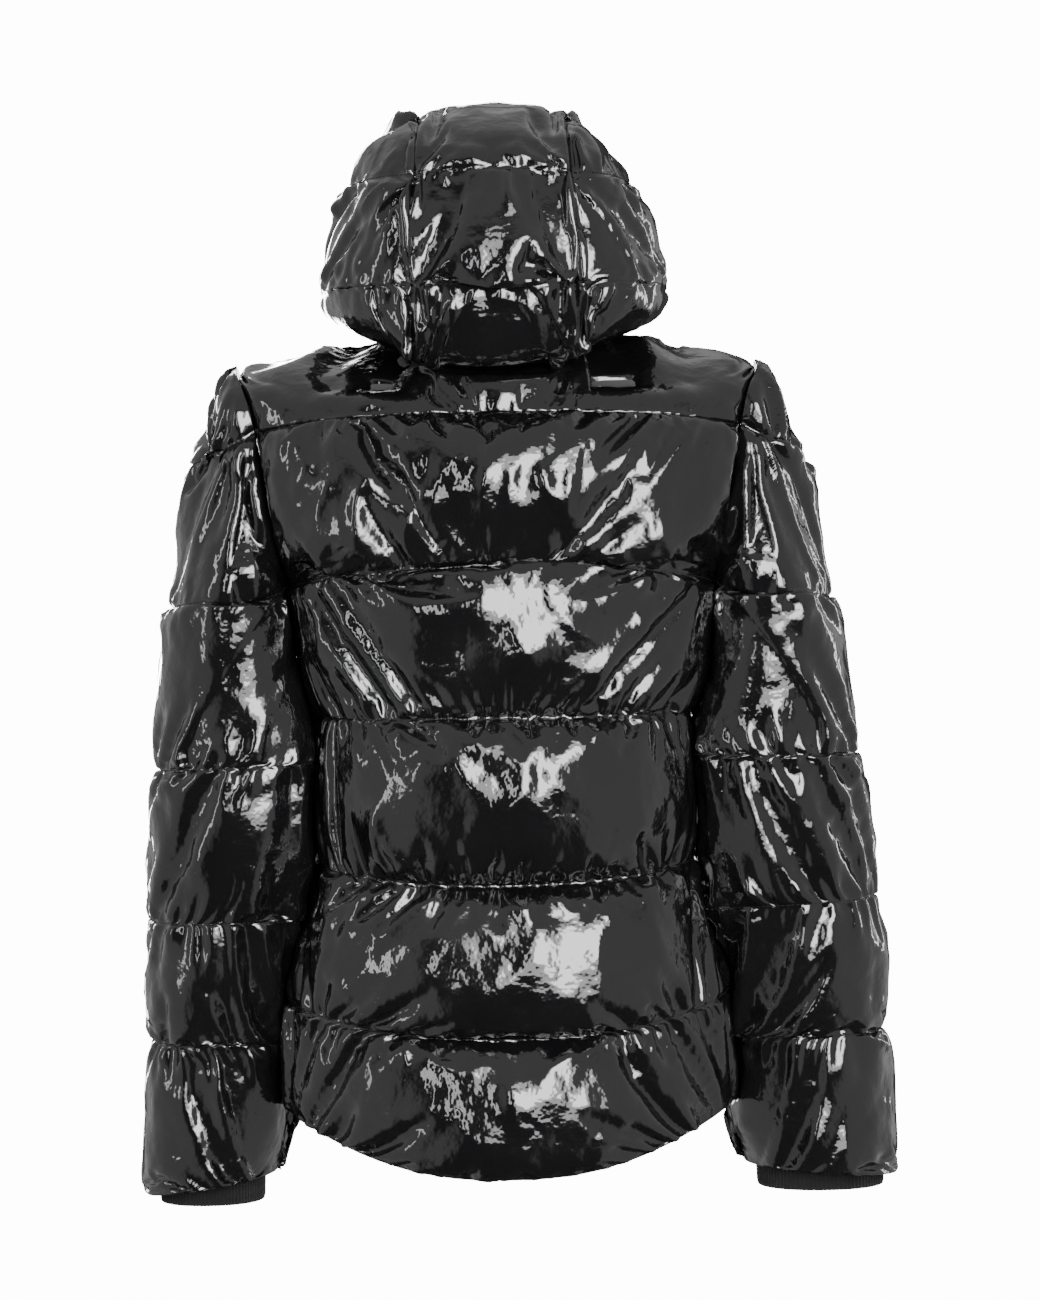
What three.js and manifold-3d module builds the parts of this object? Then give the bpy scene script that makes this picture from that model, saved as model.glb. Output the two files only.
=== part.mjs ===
// A hooded puffer jacket, filled out as if worn, with its zip closed.
// Millimetres, +Z up. The wearer faces -Y, +X is the wearer's left, and the origin lies between the shoulders at the base of the neck.
import * as THREE from "three";
import Module from "manifold-3d";
import { mergeVertices } from "three/addons/utils/BufferGeometryUtils.js";

const wasm = await Module();
wasm.setup();

// Driving dimensions
const WALL = 5; // shell, flattened filling and lining where a quilting seam presses them together
const SEAM_GAP = 0.4; // between two pieces sewn to each other
const NECK_GAP = 0.9; // between the hood and the neckline, whose columns differ
const ARMHOLE_HALF = 66; // half the armhole's width, front to back
const CUFF_BAND_WALL = 2.5;
const CUFF_BAND_HEIGHT = 52;
const ZIP_HALF = 6; // half the width of the closed zip
const ZIP_THICKNESS = 3;
const HOOD_STRIP_NECK = 45; // half the width of the hood's centre panel at the neckline
const ROWS_PER_CHANNEL = 6; // mesh rows across one quilted channel
const PATH_SAMPLES = 96;

const BLACK_VINYL = { color: 0x0b0b0c, roughness: 0.08, metalness: 0 };
const BLACK_KNIT = { color: 0x0a0a0a, roughness: 0.9, metalness: 0 };
const BLACK_ZIP = { color: 0x101010, roughness: 0.35, metalness: 0 };
const DARK_METAL = { color: 0x2a2a2c, roughness: 0.25, metalness: 1 };

// Rings of the body from hem to neck, at the inner face. side, back and front are heights of the ring there, half is its half
// width, backDepth and frontDepth reach from the middle plane, and power squares the ring off.
const BODY = [
  { name: "hem", side: -641, back: -688, front: -655, half: 180, backDepth: 126, frontDepth: 116, power: 2.4 },
  { name: "hip seam", side: -548, back: -575, front: -556, half: 172, backDepth: 119, frontDepth: 112, power: 2.4 },
  { name: "waist seam", side: -438, back: -451, front: -444, half: 142, backDepth: 108, frontDepth: 104, power: 2.4 },
  { name: "rib seam", side: -313, back: -315, front: -314, half: 146, backDepth: 116, frontDepth: 112, power: 2.4 },
  { name: "armpit seam", side: -205, back: -193, front: -197, half: 174, backDepth: 124, frontDepth: 118, power: 2.6 },
  { name: "yoke seam", side: -86, back: -69, front: -82, half: 210, backDepth: 110, frontDepth: 102, power: 3.4 },
  { name: "shoulder point", side: -37, back: -49, front: -68, half: 212, backDepth: 86, frontDepth: 92, power: 3.1 },
  { name: "mid shoulder", side: -23, back: -29, front: -62, half: 146, backDepth: 70, frontDepth: 85, power: 2.6 },
  { name: "neck", side: 5, back: -5, front: -54, half: 74, backDepth: 60, frontDepth: 78, power: 2.2 },
];
const LEVEL = { hem: 0, armpit: 4, yoke: 5, shoulder: 6, neck: 8 };

// How far each quilted channel of the body stands off its seams, at the side, the back and the front
const BODY_PUFF = [
  { name: "hem channel", from: 0, to: 1, side: 12, back: 25, front: 22 },
  { name: "hip channel", from: 1, to: 2, side: 20, back: 29, front: 26 },
  { name: "waist channel", from: 2, to: 3, side: 10, back: 29, front: 26 },
  { name: "rib channel", from: 3, to: 4, side: 8, back: 27, front: 25 },
  { name: "chest channel", from: 4, to: 5, side: 12, back: 24, front: 22 },
  { name: "yoke", from: 5, to: 8, side: 10, back: 14, front: 13 },
];

// The sleeve's cap by body level: its outermost point, the middle and half depth of its oval, and the angle it is cut open by
const CAP = [
  { level: 4, outer: 270, outerZ: -222, middle: 227, deep: 76, open: 0 },
  { level: 4.5, outer: 258, outerZ: -163, middle: 211, deep: 74, open: 55 },
  { level: 5, outer: 246, outerZ: -106, middle: 203, deep: 69, open: 86 },
  { level: 5.5, outer: 227, outerZ: -62, middle: 206, deep: 57, open: 90 },
  { level: 6, outer: 214, outerZ: -37, middle: 211, deep: 3, open: 90 },
];

// Rings of each sleeve below the armpit, at the inner face, distances taken outward from the middle of the jacket
const SLEEVE = {
  left: [
    { name: "armpit", innerZ: -205, outerZ: -222, outer: 270, middleY: 0, deep: 76 },
    { name: "elbow seam", innerZ: -350, outerZ: -356, outer: 284, middleY: -8, deep: 71 },
    { name: "forearm seam", innerZ: -480, outerZ: -483, outer: 294, middleY: -19, deep: 65 },
    { name: "wrist seam", innerZ: -585, outerZ: -585, outer: 294, middleY: -30, deep: 58 },
    { name: "cuff", innerZ: -696, outerZ: -716, outer: 304, middleY: -40, deep: 56 },
  ],
  right: [
    { name: "armpit", innerZ: -205, outerZ: -222, outer: 270, middleY: 0, deep: 76 },
    { name: "elbow seam", innerZ: -348, outerZ: -352, outer: 290, middleY: -8, deep: 72 },
    { name: "forearm seam", innerZ: -476, outerZ: -472, outer: 304, middleY: -18, deep: 68 },
    { name: "wrist seam", innerZ: -585, outerZ: -585, outer: 309, middleY: -27, deep: 60 },
    { name: "cuff", innerZ: -694, outerZ: -707, outer: 322, middleY: -36, deep: 60 },
  ],
};
// The side of both sleeves that lies along the body follows its channels
const SLEEVE_INSIDE = [
  { z: -705, x: 206 },
  { z: -650, x: 191 },
  { z: -603, x: 192 },
  { z: -556, x: 184 },
  { z: -500, x: 182 },
  { z: -438, x: 156 },
  { z: -375, x: 155 },
  { z: -313, x: 157 },
  { z: -262, x: 176 },
  { z: -215, x: 182 },
];
const SLEEVE_PUFF = { outer: 9, frontBack: 15, inner: 2 };
const SLEEVE_COLUMNS = 26;

// Rows of the hood's side panel from neckline to crown, at the inner face: its front edge, its seam with the centre panel,
// how far it reaches sideways, at what height, in between, and how much farther the left or the right panel reaches
const HOOD = [
  { name: "neckline", frontX: 6.5, frontY: -78, frontZ: -54, seamX: 45, seamY: 50, seamZ: -4, half: 74, halfZ: 5, left: 0, right: 0 },
  { name: "collar", frontX: 8, frontY: -96, frontZ: -10, seamX: 62, seamY: 108, seamZ: -19, half: 128, halfZ: 18, left: 0, right: 0 },
  { name: "jaw seam", frontX: 50, frontY: -112, frontZ: 34, seamX: 64, seamY: 130, seamZ: 37, half: 139, halfZ: 37, left: 0, right: -2 },
  { name: "cheek", frontX: 74, frontY: -110, frontZ: 80, seamX: 63, seamY: 132, seamZ: 82, half: 125, halfZ: 82, left: 0, right: -6 },
  { name: "temple seam", frontX: 78, frontY: -103, frontZ: 120, seamX: 61, seamY: 122, seamZ: 123, half: 114, halfZ: 122, left: 4, right: -4 },
  { name: "brow", frontX: 70, frontY: -96, frontZ: 148, seamX: 59, seamY: 100, seamZ: 153, half: 94, halfZ: 154, left: 15, right: 0 },
  { name: "crown seam", frontX: 57, frontY: -88, frontZ: 162, seamX: 57, seamY: 66, seamZ: 169, half: 60, halfZ: 176, left: 0, right: 0 },
];
const HOOD_PUFF = { side: 9, back: 14, top: 5 };
const HOOD_MIDDLE = new THREE.Vector3(0, 15, 85);
const HOOD_SIDE_COLUMNS = 14;
const HOOD_STRIP_COLUMNS = 8;
const HOOD_STRIP_BOW = { back: 9, top: 4 };
const ZIP_TOP_ROW = 1; // the zip ends at the hood's collar row

const BACK_COLUMNS = 34;
const FRONT_COLUMNS = 17;

// Gathers drawn up by the quilting thread: waves along each seam that die out inside the channel
const GATHER = { height: 4, wavelength: 62, reach: 0.34 };

const clamp = (x, low, high) => Math.min(high, Math.max(low, x));
const mix = (a, b, share) => a + (b - a) * share;
const power = (x, exponent) => Math.sign(x) * Math.abs(x) ** exponent;
const radians = THREE.MathUtils.degToRad;

// The value of a table's column at a place between its rows, on a smooth curve through them
function column(table, name, at) {
  const last = table.length - 1;
  const row = clamp(Math.floor(at), 0, last - 1);
  const share = at - row;
  const value = (i) => table[clamp(i, 0, last)][name];
  const start = value(row);
  const end = value(row + 1);
  const startSlope = (end - value(row - 1)) / (row > 0 ? 2 : 1);
  const endSlope = (value(row + 2) - start) / (row + 1 < last ? 2 : 1);
  const s2 = share * share;
  const s3 = s2 * share;
  return (
    start * (2 * s3 - 3 * s2 + 1) + startSlope * (s3 - 2 * s2 + share) + end * (3 * s2 - 2 * s3) + endSlope * (s3 - s2)
  );
}

// Row places from one quilting seam to the next, closer together near the seams
function channelRows(from, to, count = ROWS_PER_CHANNEL) {
  return Array.from({ length: count + 1 }, (_, k) => mix(from, to, 0.5 - 0.5 * Math.cos((Math.PI * k) / count)));
}

const joinRows = (...parts) => parts.flatMap((rows, i) => (i ? rows.slice(1) : rows));

// The rise of a stuffed channel across its width, from 0 at one seam to 1 in the middle
const rise = (share) => Math.sin(Math.PI * clamp(share, 0, 1)) ** 0.62;

// The rise next to an edge that is sewn down, full beyond the given reach
function edgeRise(distance, reach) {
  const left = 1 - clamp(distance / reach, 0, 1);
  return Math.sqrt(1 - left * left);
}

// A point of the body's ring at a level. Angle 0 is the wearer's left side and 90 degrees the back.
function bodyPoint(level, angle) {
  const at = clamp(level, 0, BODY.length - 1);
  const get = (name) => column(BODY, name, at);
  const c = Math.cos(angle);
  const s = Math.sin(angle);
  const exponent = 2 / get("power");
  const reach = Math.abs(s) ** exponent;
  const end = s >= 0 ? "back" : "front";
  const y = Math.sign(s) * reach * get(end + "Depth");
  const dip = 3 - clamp(at, 0, 1);
  return new THREE.Vector3(get("half") * power(c, exponent), y, mix(get("side"), get(end), reach ** dip));
}

function bodyNormal(level, angle) {
  const a = 0.01;
  const l = 0.02;
  const around = bodyPoint(level, angle + a).sub(bodyPoint(level, angle - a));
  const up = bodyPoint(level + l, angle).sub(bodyPoint(level - l, angle));
  return around.cross(up).normalize();
}

// The angle at which the armhole, or below it the side seam, cuts the body's ring
function sideAngle(level, depthName) {
  if (level <= LEVEL.armpit || level >= LEVEL.shoulder) return 0;
  const share = level - LEVEL.yoke;
  const y = ARMHOLE_HALF * Math.sqrt(1 - share * share);
  const ratio = clamp(y / column(BODY, depthName, level), 0, 1);
  return Math.asin(ratio ** (column(BODY, "power", level) / 2));
}

// One side of the armhole at a body level: front is -1 and back is 1
function armholePoint(level, facing) {
  const angle = sideAngle(level, facing < 0 ? "frontDepth" : "backDepth");
  return bodyPoint(level, facing * angle);
}

// Two walls that meet at a fold share one direction of thickness there, as a mitre does
function armholeMitre(point) {
  const out = new THREE.Vector3(0, point.y, point.z + 118).normalize();
  out.x = 0.2 * Math.max(out.z, 0);
  return out.normalize();
}

function neckMitre(point) {
  const out = new THREE.Vector3(point.x, point.y * 1.1, 0).normalize();
  out.z = mix(0.22, -0.65, clamp(point.y / 55, 0, 1) ** 2);
  return out.normalize();
}

// A seam line round an opening: its points, each with the direction across both walls' surface that leads to the outer piece
function seamLoop(points, mitre, across) {
  return points.map((point, i) => {
    const along = points[(i + 1) % points.length].clone().sub(points[(i + points.length - 1) % points.length]);
    const over = mitre(point).cross(along).normalize();
    return { point, over: over.dot(across) < 0 ? over.negate() : over };
  });
}

const ARMHOLE_STEPS = 40;
const ARMHOLE_LOOP = seamLoop(
  Array.from({ length: 2 * ARMHOLE_STEPS }, (_, i) => {
    const facing = i < ARMHOLE_STEPS ? 1 : -1;
    return armholePoint(LEVEL.yoke - Math.cos((Math.PI * i) / ARMHOLE_STEPS), facing);
  }),
  armholeMitre,
  new THREE.Vector3(1, 0, 0),
);
const NECK_LOOP = seamLoop(
  Array.from({ length: 90 }, (_, i) => bodyPoint(LEVEL.neck, (Math.PI * i) / 45)),
  neckMitre,
  new THREE.Vector3(0, 0, 1),
);

function nearest(loop, point) {
  let best = loop[0];
  for (const place of loop)
    if (place.point.distanceToSquared(point) < best.point.distanceToSquared(point)) best = place;
  return best;
}

const distanceTo = (loop, point) => Math.max(nearest(loop, point).point.distanceTo(point) - 1.2, 0);

// Turns a direction of thickness towards the mitre, fully at the seam and not at all beyond the reach
function turnTo(direction, mitre, distance, reach) {
  const share = clamp(1 - distance / reach, 0, 1) ** 2;
  return direction.clone().lerp(mitre, share).normalize();
}

// Moves a point that has come over a seam's mitre back to its own side of it: 1 is outside the seam and -1 inside
function keptTo(side, loop, point, clearance, reach = 45) {
  const place = nearest(loop, point);
  const offset = point.clone().sub(place.point);
  const over = side * offset.dot(place.over) - clearance;
  return over < 0 && offset.length() < reach ? point.clone().addScaledVector(place.over, -side * over) : point;
}

function mirrored(point) {
  return new THREE.Vector3(-point.x, point.y, point.z);
}

// Evenly spaced places along a curve given by a function of a share from 0 to 1
function evenly(curve, count) {
  const samples = Array.from({ length: PATH_SAMPLES + 1 }, (_, i) => curve(i / PATH_SAMPLES));
  const along = [0];
  for (let i = 1; i < samples.length; i++) along.push(along[i - 1] + samples[i].distanceTo(samples[i - 1]));
  const total = along[PATH_SAMPLES];
  const places = [];
  let k = 0;
  for (let i = 0; i <= count; i++) {
    const want = (total * i) / count;
    while (k < PATH_SAMPLES - 1 && along[k + 1] < want) k++;
    const span = along[k + 1] - along[k];
    places.push((k + (span > 0 ? clamp((want - along[k]) / span, 0, 1) : 0)) / PATH_SAMPLES);
  }
  return { places, total };
}

// A closed wall between an inner and an outer grid of points. The plain inner face keeps only the rows named in innerRows.
function wallGeometry(inner, outer, innerRows) {
  const columns = outer[0].length - 1;
  const positions = [];
  const index = [];
  const add = (point) => positions.push(point.x, point.y, point.z) / 3 - 1;
  const face = outer.map((row) => row.map(add));
  const back = new Map(innerRows.map((r) => [r, inner[r].map(add)]));
  const quad = (a, b, c, d) => index.push(a, b, c, a, c, d);
  for (let r = 0; r < outer.length - 1; r++)
    for (let c = 0; c < columns; c++) quad(face[r][c], face[r][c + 1], face[r + 1][c + 1], face[r + 1][c]);
  for (let i = 0; i < innerRows.length - 1; i++) {
    const low = back.get(innerRows[i]);
    const high = back.get(innerRows[i + 1]);
    for (let c = 0; c < columns; c++) quad(low[c], high[c], high[c + 1], low[c + 1]);
    for (let r = innerRows[i]; r < innerRows[i + 1]; r++) {
      index.push(low[0], face[r][0], face[r + 1][0]);
      index.push(low[columns], face[r + 1][columns], face[r][columns]);
    }
    index.push(low[0], face[innerRows[i + 1]][0], high[0]);
    index.push(low[columns], high[columns], face[innerRows[i + 1]][columns]);
  }
  const bottom = back.get(innerRows[0]);
  const top = back.get(innerRows[innerRows.length - 1]);
  const last = outer.length - 1;
  for (let c = 0; c < columns; c++) {
    quad(bottom[c], bottom[c + 1], face[0][c + 1], face[0][c]);
    quad(top[c], face[last][c], face[last][c + 1], top[c + 1]);
  }
  if (signedVolume(positions, index) < 0) for (let i = 0; i < index.length; i += 3) index.splice(i, 2, index[i + 1], index[i]);
  const geometry = new THREE.BufferGeometry();
  geometry.setAttribute("position", new THREE.Float32BufferAttribute(positions, 3));
  geometry.setIndex(index);
  geometry.computeVertexNormals();
  return geometry;
}

function signedVolume(positions, index) {
  const corner = (i) => new THREE.Vector3().fromArray(positions, index[i] * 3);
  let six = 0;
  for (let i = 0; i < index.length; i += 3) six += corner(i).dot(corner(i + 1).cross(corner(i + 2)));
  return six / 6;
}

// Rows that the plain inner face keeps: every seam and the middle of every channel
function plainRows(count, step = ROWS_PER_CHANNEL / 2) {
  const rows = [];
  for (let r = 0; r < count - 1; r += step) rows.push(r);
  return [...rows, count - 1];
}

function wallMesh(name, inner, outer, material, mirror = false, step = ROWS_PER_CHANNEL / 2) {
  const place = (grid) => (mirror ? grid.map((row) => row.map(mirrored)) : grid);
  const geometry = wallGeometry(place(inner), place(outer), plainRows(inner.length, step));
  const mesh = new THREE.Mesh(geometry, new THREE.MeshStandardMaterial(material));
  mesh.name = name;
  return mesh;
}

// Gathers near a seam, by the distance along the seam and the share of the channel's width
function gather(distance, share, seed) {
  const near = Math.exp(-((Math.min(share, 1 - share) / GATHER.reach) ** 2));
  const phase = share < 0.5 ? seed : seed + 2.1;
  const wave = Math.sin((2 * Math.PI * distance) / GATHER.wavelength + 1.9 * phase);
  const beat = 0.6 + 0.4 * Math.sin(distance / 41 + 2.3 * phase);
  return GATHER.height * wave * beat * near * edgeRise(Math.min(share, 1 - share), 0.12);
}

// The height of the body's quilting above its seams
function bodyPuff(level, angle, point, fromEdge, along) {
  const channel = BODY_PUFF.find((c) => level <= c.to) ?? BODY_PUFF[BODY_PUFF.length - 1];
  const share = (level - channel.from) / (channel.to - channel.from);
  const s = Math.abs(Math.sin(angle));
  const full = mix(channel.side, Math.sin(angle) >= 0 ? channel.back : channel.front, s * s);
  const sag = share ** 1.12;
  const atArmhole = edgeRise(distanceTo(ARMHOLE_LOOP, new THREE.Vector3(Math.abs(point.x), point.y, point.z)), 46);
  const atNeck = THREE.MathUtils.smoothstep(distanceTo(NECK_LOOP, point), 16, 84);
  const swell = rise(sag) * atArmhole * atNeck * fromEdge;
  return full * swell + gather(along, share, channel.from + 1) * swell;
}

function bodyWallPoint(level, angle, fromEdge, along) {
  const inner = bodyPoint(level, angle);
  const thickness = WALL + bodyPuff(level, angle, inner, fromEdge, along);
  const side = inner.x < 0 ? -1 : 1;
  const near = new THREE.Vector3(Math.abs(inner.x), inner.y, inner.z);
  const own = bodyNormal(level, angle);
  let out = turnTo(own.setX(side * own.x), armholeMitre(near), distanceTo(ARMHOLE_LOOP, near), 30);
  out.x *= side;
  out = turnTo(out, neckMitre(inner), distanceTo(NECK_LOOP, inner), 34);
  const outer = keptTo(-1, NECK_LOOP, inner.clone().addScaledVector(out, thickness), 0);
  const kept = keptTo(-1, ARMHOLE_LOOP, outer.clone().setX(side * outer.x), 0.2);
  return { inner, outer: kept.setX(side * kept.x) };
}

// The angle at which a ring passes a given distance from the middle plane
function angleAtX(level, x) {
  const ratio = clamp(x / column(BODY, "half", level), 0, 1);
  return Math.acos(ratio ** (column(BODY, "power", level) / 2));
}

// A body panel between two edge angles, which may change from level to level
function bodyPanel(levels, columns, edges, sewnEdges) {
  const inner = [];
  const outer = [];
  for (const level of levels) {
    const [start, end] = edges(level);
    const { places, total } = evenly((share) => bodyPoint(level, mix(start, end, share)), columns);
    const row = places.map((share, c) => {
      const along = (total * c) / columns;
      const sewn = sewnEdges(along, total);
      return bodyWallPoint(level, mix(start, end, share), sewn, along);
    });
    inner.push(row.map((p) => p.inner));
    outer.push(row.map((p) => p.outer));
  }
  return { inner, outer };
}

// The side edge's angle, moved in by half a seam gap
function sideEdge(level, depthName) {
  const radius = column(BODY, "half", level) * 0.9;
  const shift = level <= LEVEL.armpit || level >= LEVEL.shoulder ? (SEAM_GAP / 2 / radius) ** (column(BODY, "power", level) / 2) : 0;
  return sideAngle(level, depthName) + shift;
}

const LOWER_LEVELS = joinRows(...[0, 1, 2, 3, 4].map((seam) => channelRows(seam, seam + 1)));
const YOKE_LEVELS = joinRows(channelRows(5, 6, 3), channelRows(6, 8, 3));
// The seams between panels stacked on each other open by one gap
const LIFT = 0.004;

function backPanel(levels) {
  return bodyPanel(
    levels,
    BACK_COLUMNS,
    (level) => {
      const edge = sideEdge(level, "backDepth");
      return [edge, Math.PI - edge];
    },
    (along, total) => mix(0.62, 1, edgeRise(Math.min(along, total - along), 26)),
  );
}

function frontPanel(levels) {
  return bodyPanel(
    levels,
    FRONT_COLUMNS,
    (level) => [-sideEdge(level, "frontDepth"), -angleAtX(level, ZIP_HALF + SEAM_GAP)],
    (along, total) => mix(0.62, 1, edgeRise(along, 26)) * edgeRise(total - along, 34),
  );
}

// How far the body's outer face reaches sideways, kept in cells of depth and height
const FLANK = { cell: 6, gap: 1.6, leastWall: 3.5 };
const flank = new Map();
const flankKey = (y, z) => Math.round(y / FLANK.cell) * 1000 + Math.round(z / FLANK.cell);
for (let level = 0; level < LEVEL.armpit; level += 0.04)
  for (let angle = -1.35; angle <= 1.35; angle += 0.03) {
    const { outer } = bodyWallPoint(level, angle, 1, 0);
    const key = flankKey(outer.y, outer.z);
    flank.set(key, Math.max(flank.get(key) ?? 0, outer.x));
  }

// The body's reach at a point's depth, over a stretch of height round it
function bodyReach(point, stretch) {
  let reach = 0;
  for (let y = -1; y <= 1; y++)
    for (let z = -stretch; z <= stretch; z += FLANK.cell)
      reach = Math.max(reach, flank.get(flankKey(point.y + y * FLANK.cell, point.z + z)) ?? 0);
  return reach;
}

// The value of a table's column x at a height z, for a table that goes upward
function insideOf(z) {
  const next = SLEEVE_INSIDE.findIndex((row) => row.z >= z);
  const row = next < 0 ? SLEEVE_INSIDE.length - 1 : Math.max(next, 1);
  const { z: low } = SLEEVE_INSIDE[row - 1];
  return column(SLEEVE_INSIDE, "x", row - 1 + clamp((z - low) / (SLEEVE_INSIDE[row].z - low), 0, 1));
}

// A ring of a sleeve as a curve from the underarm seam round the front, the outside and the back
function sleeveCurve(side, row) {
  const rings = SLEEVE[side];
  const cap = row.level !== undefined;
  const capAt = cap ? (row.level - LEVEL.armpit) * 2 : 0;
  const get = (name) => (cap ? column(CAP, name, capAt) : column(rings, name, row.ring));
  const outer = get("outer");
  const middle = cap ? get("middle") : (insideOf(get("innerZ")) + outer) / 2;
  const middleY = cap ? 0 : get("middleY");
  const radius = outer - middle;
  const open = cap ? radians(get("open")) : 0;
  const gap = new THREE.Vector3(SEAM_GAP + 0.3, 0, 0);
  const ends = cap ? [-1, 1].map((facing) => armholePoint(row.level, facing).add(gap)) : null;
  return (share) => {
    const angle = mix(-Math.PI + open, Math.PI - open, share);
    const oval = new THREE.Vector3(
      middle + radius * power(Math.cos(angle), 0.92),
      middleY + get("deep") * power(Math.sin(angle), 0.92),
      0,
    );
    if (!cap) {
      oval.z = mix(get("innerZ"), get("outerZ"), (1 + Math.cos(angle)) / 2);
      const armpit = armholePoint(LEVEL.armpit, 1).add(gap);
      const inside = Math.exp(-((row.ring / 0.09) ** 2)) * ((1 - Math.cos(angle)) / 2) ** 6;
      oval.x = mix(oval.x, armpit.x, inside);
      return oval;
    }
    oval.z = mix(ends[0].z, get("outerZ"), Math.sin(Math.PI * share));
    const [first, last] = [-Math.PI + open, Math.PI - open].map(
      (a) => new THREE.Vector3(middle + radius * power(Math.cos(a), 0.92), get("deep") * power(Math.sin(a), 0.92), ends[0].z),
    );
    oval.addScaledVector(ends[0].clone().sub(first), (1 - share) ** 4);
    return oval.addScaledVector(ends[1].clone().sub(last), share ** 4);
  };
}

const CAP_TOP_LEVELS = channelRows(5, 6, 3).slice(0, -1);
const SLEEVE_ROWS = [
  ...[3, 2, 1, 0].flatMap((seam, i) => channelRows(seam + 1, seam).slice(i ? 1 : 0).map((ring) => ({ ring }))),
  ...channelRows(4, 5).slice(1).map((level) => ({ level })),
  ...CAP_TOP_LEVELS.slice(1).map((level) => ({ level })),
];

const ELBOW_ROW = SLEEVE_ROWS.findIndex((row) => row.ring === 1);
const ARMPIT_ROW = SLEEVE_ROWS.findIndex((row) => row.ring === 0);

// The share of its channel that a sleeve row lies at
function sleeveShare(row) {
  if (row.level === undefined) return row.ring % 1;
  return row.level <= LEVEL.yoke ? row.level - LEVEL.armpit : (row.level - LEVEL.yoke) / 1.35;
}

// One sleeve from cuff to cap, as a flat panel rolled round until its edges meet at the underarm seam
function sleevePanel(side) {
  const inner = [];
  const edgeGap = SEAM_GAP / 2;
  for (const row of SLEEVE_ROWS) {
    const curve = sleeveCurve(side, row);
    const { places } = evenly(curve, SLEEVE_COLUMNS);
    const points = places.map(curve);
    if (row.level === undefined || row.level === LEVEL.armpit) {
      points[0].y -= edgeGap;
      points[SLEEVE_COLUMNS].y += edgeGap;
    }
    for (const point of points)
      if (row.ring > 0.1) point.x = Math.max(point.x, bodyReach(point, 24) + FLANK.gap + FLANK.leastWall);
    inner.push(points);
  }
  // The last row lies along the top of the armhole
  const front = armholePoint(CAP_TOP_LEVELS.at(-1), -1);
  const back = armholePoint(CAP_TOP_LEVELS.at(-1), 1);
  const top = armholePoint(LEVEL.shoulder, 1);
  const gap = new THREE.Vector3(SEAM_GAP + 0.3, 0, 0);
  const half = SLEEVE_COLUMNS / 2;
  inner.push(
    inner[0].map((_, c) => {
      const start = c <= half ? front : top;
      const end = c <= half ? top : back;
      return start.clone().lerp(end, c <= half ? c / half : c / half - 1).add(gap);
    }),
  );
  const rows = inner.length;
  const outer = inner.map((points, r) =>
    points.map((point, c) => {
      const before = inner[Math.max(r - 1, 0)][c];
      const after = inner[Math.min(r + 1, rows - 2)][c];
      const left = points[c === 0 ? SLEEVE_COLUMNS - 1 : c - 1];
      const right = points[c === SLEEVE_COLUMNS ? 1 : c + 1];
      const open = r < rows - 1 && SLEEVE_ROWS[r].level > LEVEL.armpit;
      const around = (open && c === SLEEVE_COLUMNS ? point : right).clone().sub(open && c === 0 ? point : left);
      const own = around.cross(after.clone().sub(before)).normalize();
      const fromArmhole = distanceTo(ARMHOLE_LOOP, point);
      const out = turnTo(r === rows - 1 ? armholeMitre(point) : own, armholeMitre(point), fromArmhole, 30);
      const share = r === rows - 1 ? 1 : sleeveShare(SLEEVE_ROWS[r]);
      const sideways = out.x * out.x;
      const full = mix(SLEEVE_PUFF.frontBack, out.x > 0 ? SLEEVE_PUFF.outer : SLEEVE_PUFF.inner, sideways);
      const swell = rise(share ** 0.9) * edgeRise(fromArmhole, 40);
      const waves = out.x > -0.3 ? gather(c * 17, share, r < rows - 1 ? Math.floor((SLEEVE_ROWS[r].ring ?? -1) + 2) : 0) : 0;
      const face = point.clone().addScaledVector(out, WALL + full * swell + 0.8 * waves * swell);
      const kept = keptTo(1, ARMHOLE_LOOP, face, SEAM_GAP);
      kept.x = Math.max(kept.x, Math.min(bodyReach(kept, FLANK.cell) + FLANK.gap, point.x - 2.5));
      return kept;
    }),
  );
  return { inner, outer };
}

// The rows of a sleeve from one to another, as a panel of their own
function sleeveTube(sleeve, first, last) {
  const rows = (grid) => grid.slice(first, last + 1).map((points) => points.map((point) => point.clone()));
  return { inner: rows(sleeve.inner), outer: rows(sleeve.outer) };
}

// The knitted band of the storm cuff, sewn inside the sleeve's end
const CUFF_BAND = [
  { up: CUFF_BAND_HEIGHT - 16, narrower: 1.2 },
  { up: 20, narrower: 3.5 },
  { up: 4, narrower: 5 },
  { up: -16, narrower: 6 },
];

// The band follows the sleeve's inner face, of which it takes the lowest rows
function cuffBand(sleeve) {
  const low = sleeve.inner[0];
  const high = sleeve.inner[ROWS_PER_CHANNEL / 2];
  const middleOf = (points) => points.reduce((sum, p) => sum.add(p), new THREE.Vector3()).divideScalar(points.length);
  const middle = middleOf(low);
  const ring = (wall) =>
    CUFF_BAND.map(({ up, narrower }) =>
      low.slice(1).map((point, c) => {
        const z = middle.z + up;
        const above = high[c + 1];
        const on = point.clone().lerp(above, Math.max((z - point.z) / (above.z - point.z), 0));
        const inward = middle.clone().sub(on).setZ(0).normalize();
        return on.addScaledVector(inward, narrower + wall).setZ(z);
      }),
    );
  return { inner: ring(CUFF_BAND_WALL), outer: ring(0) };
}

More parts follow.
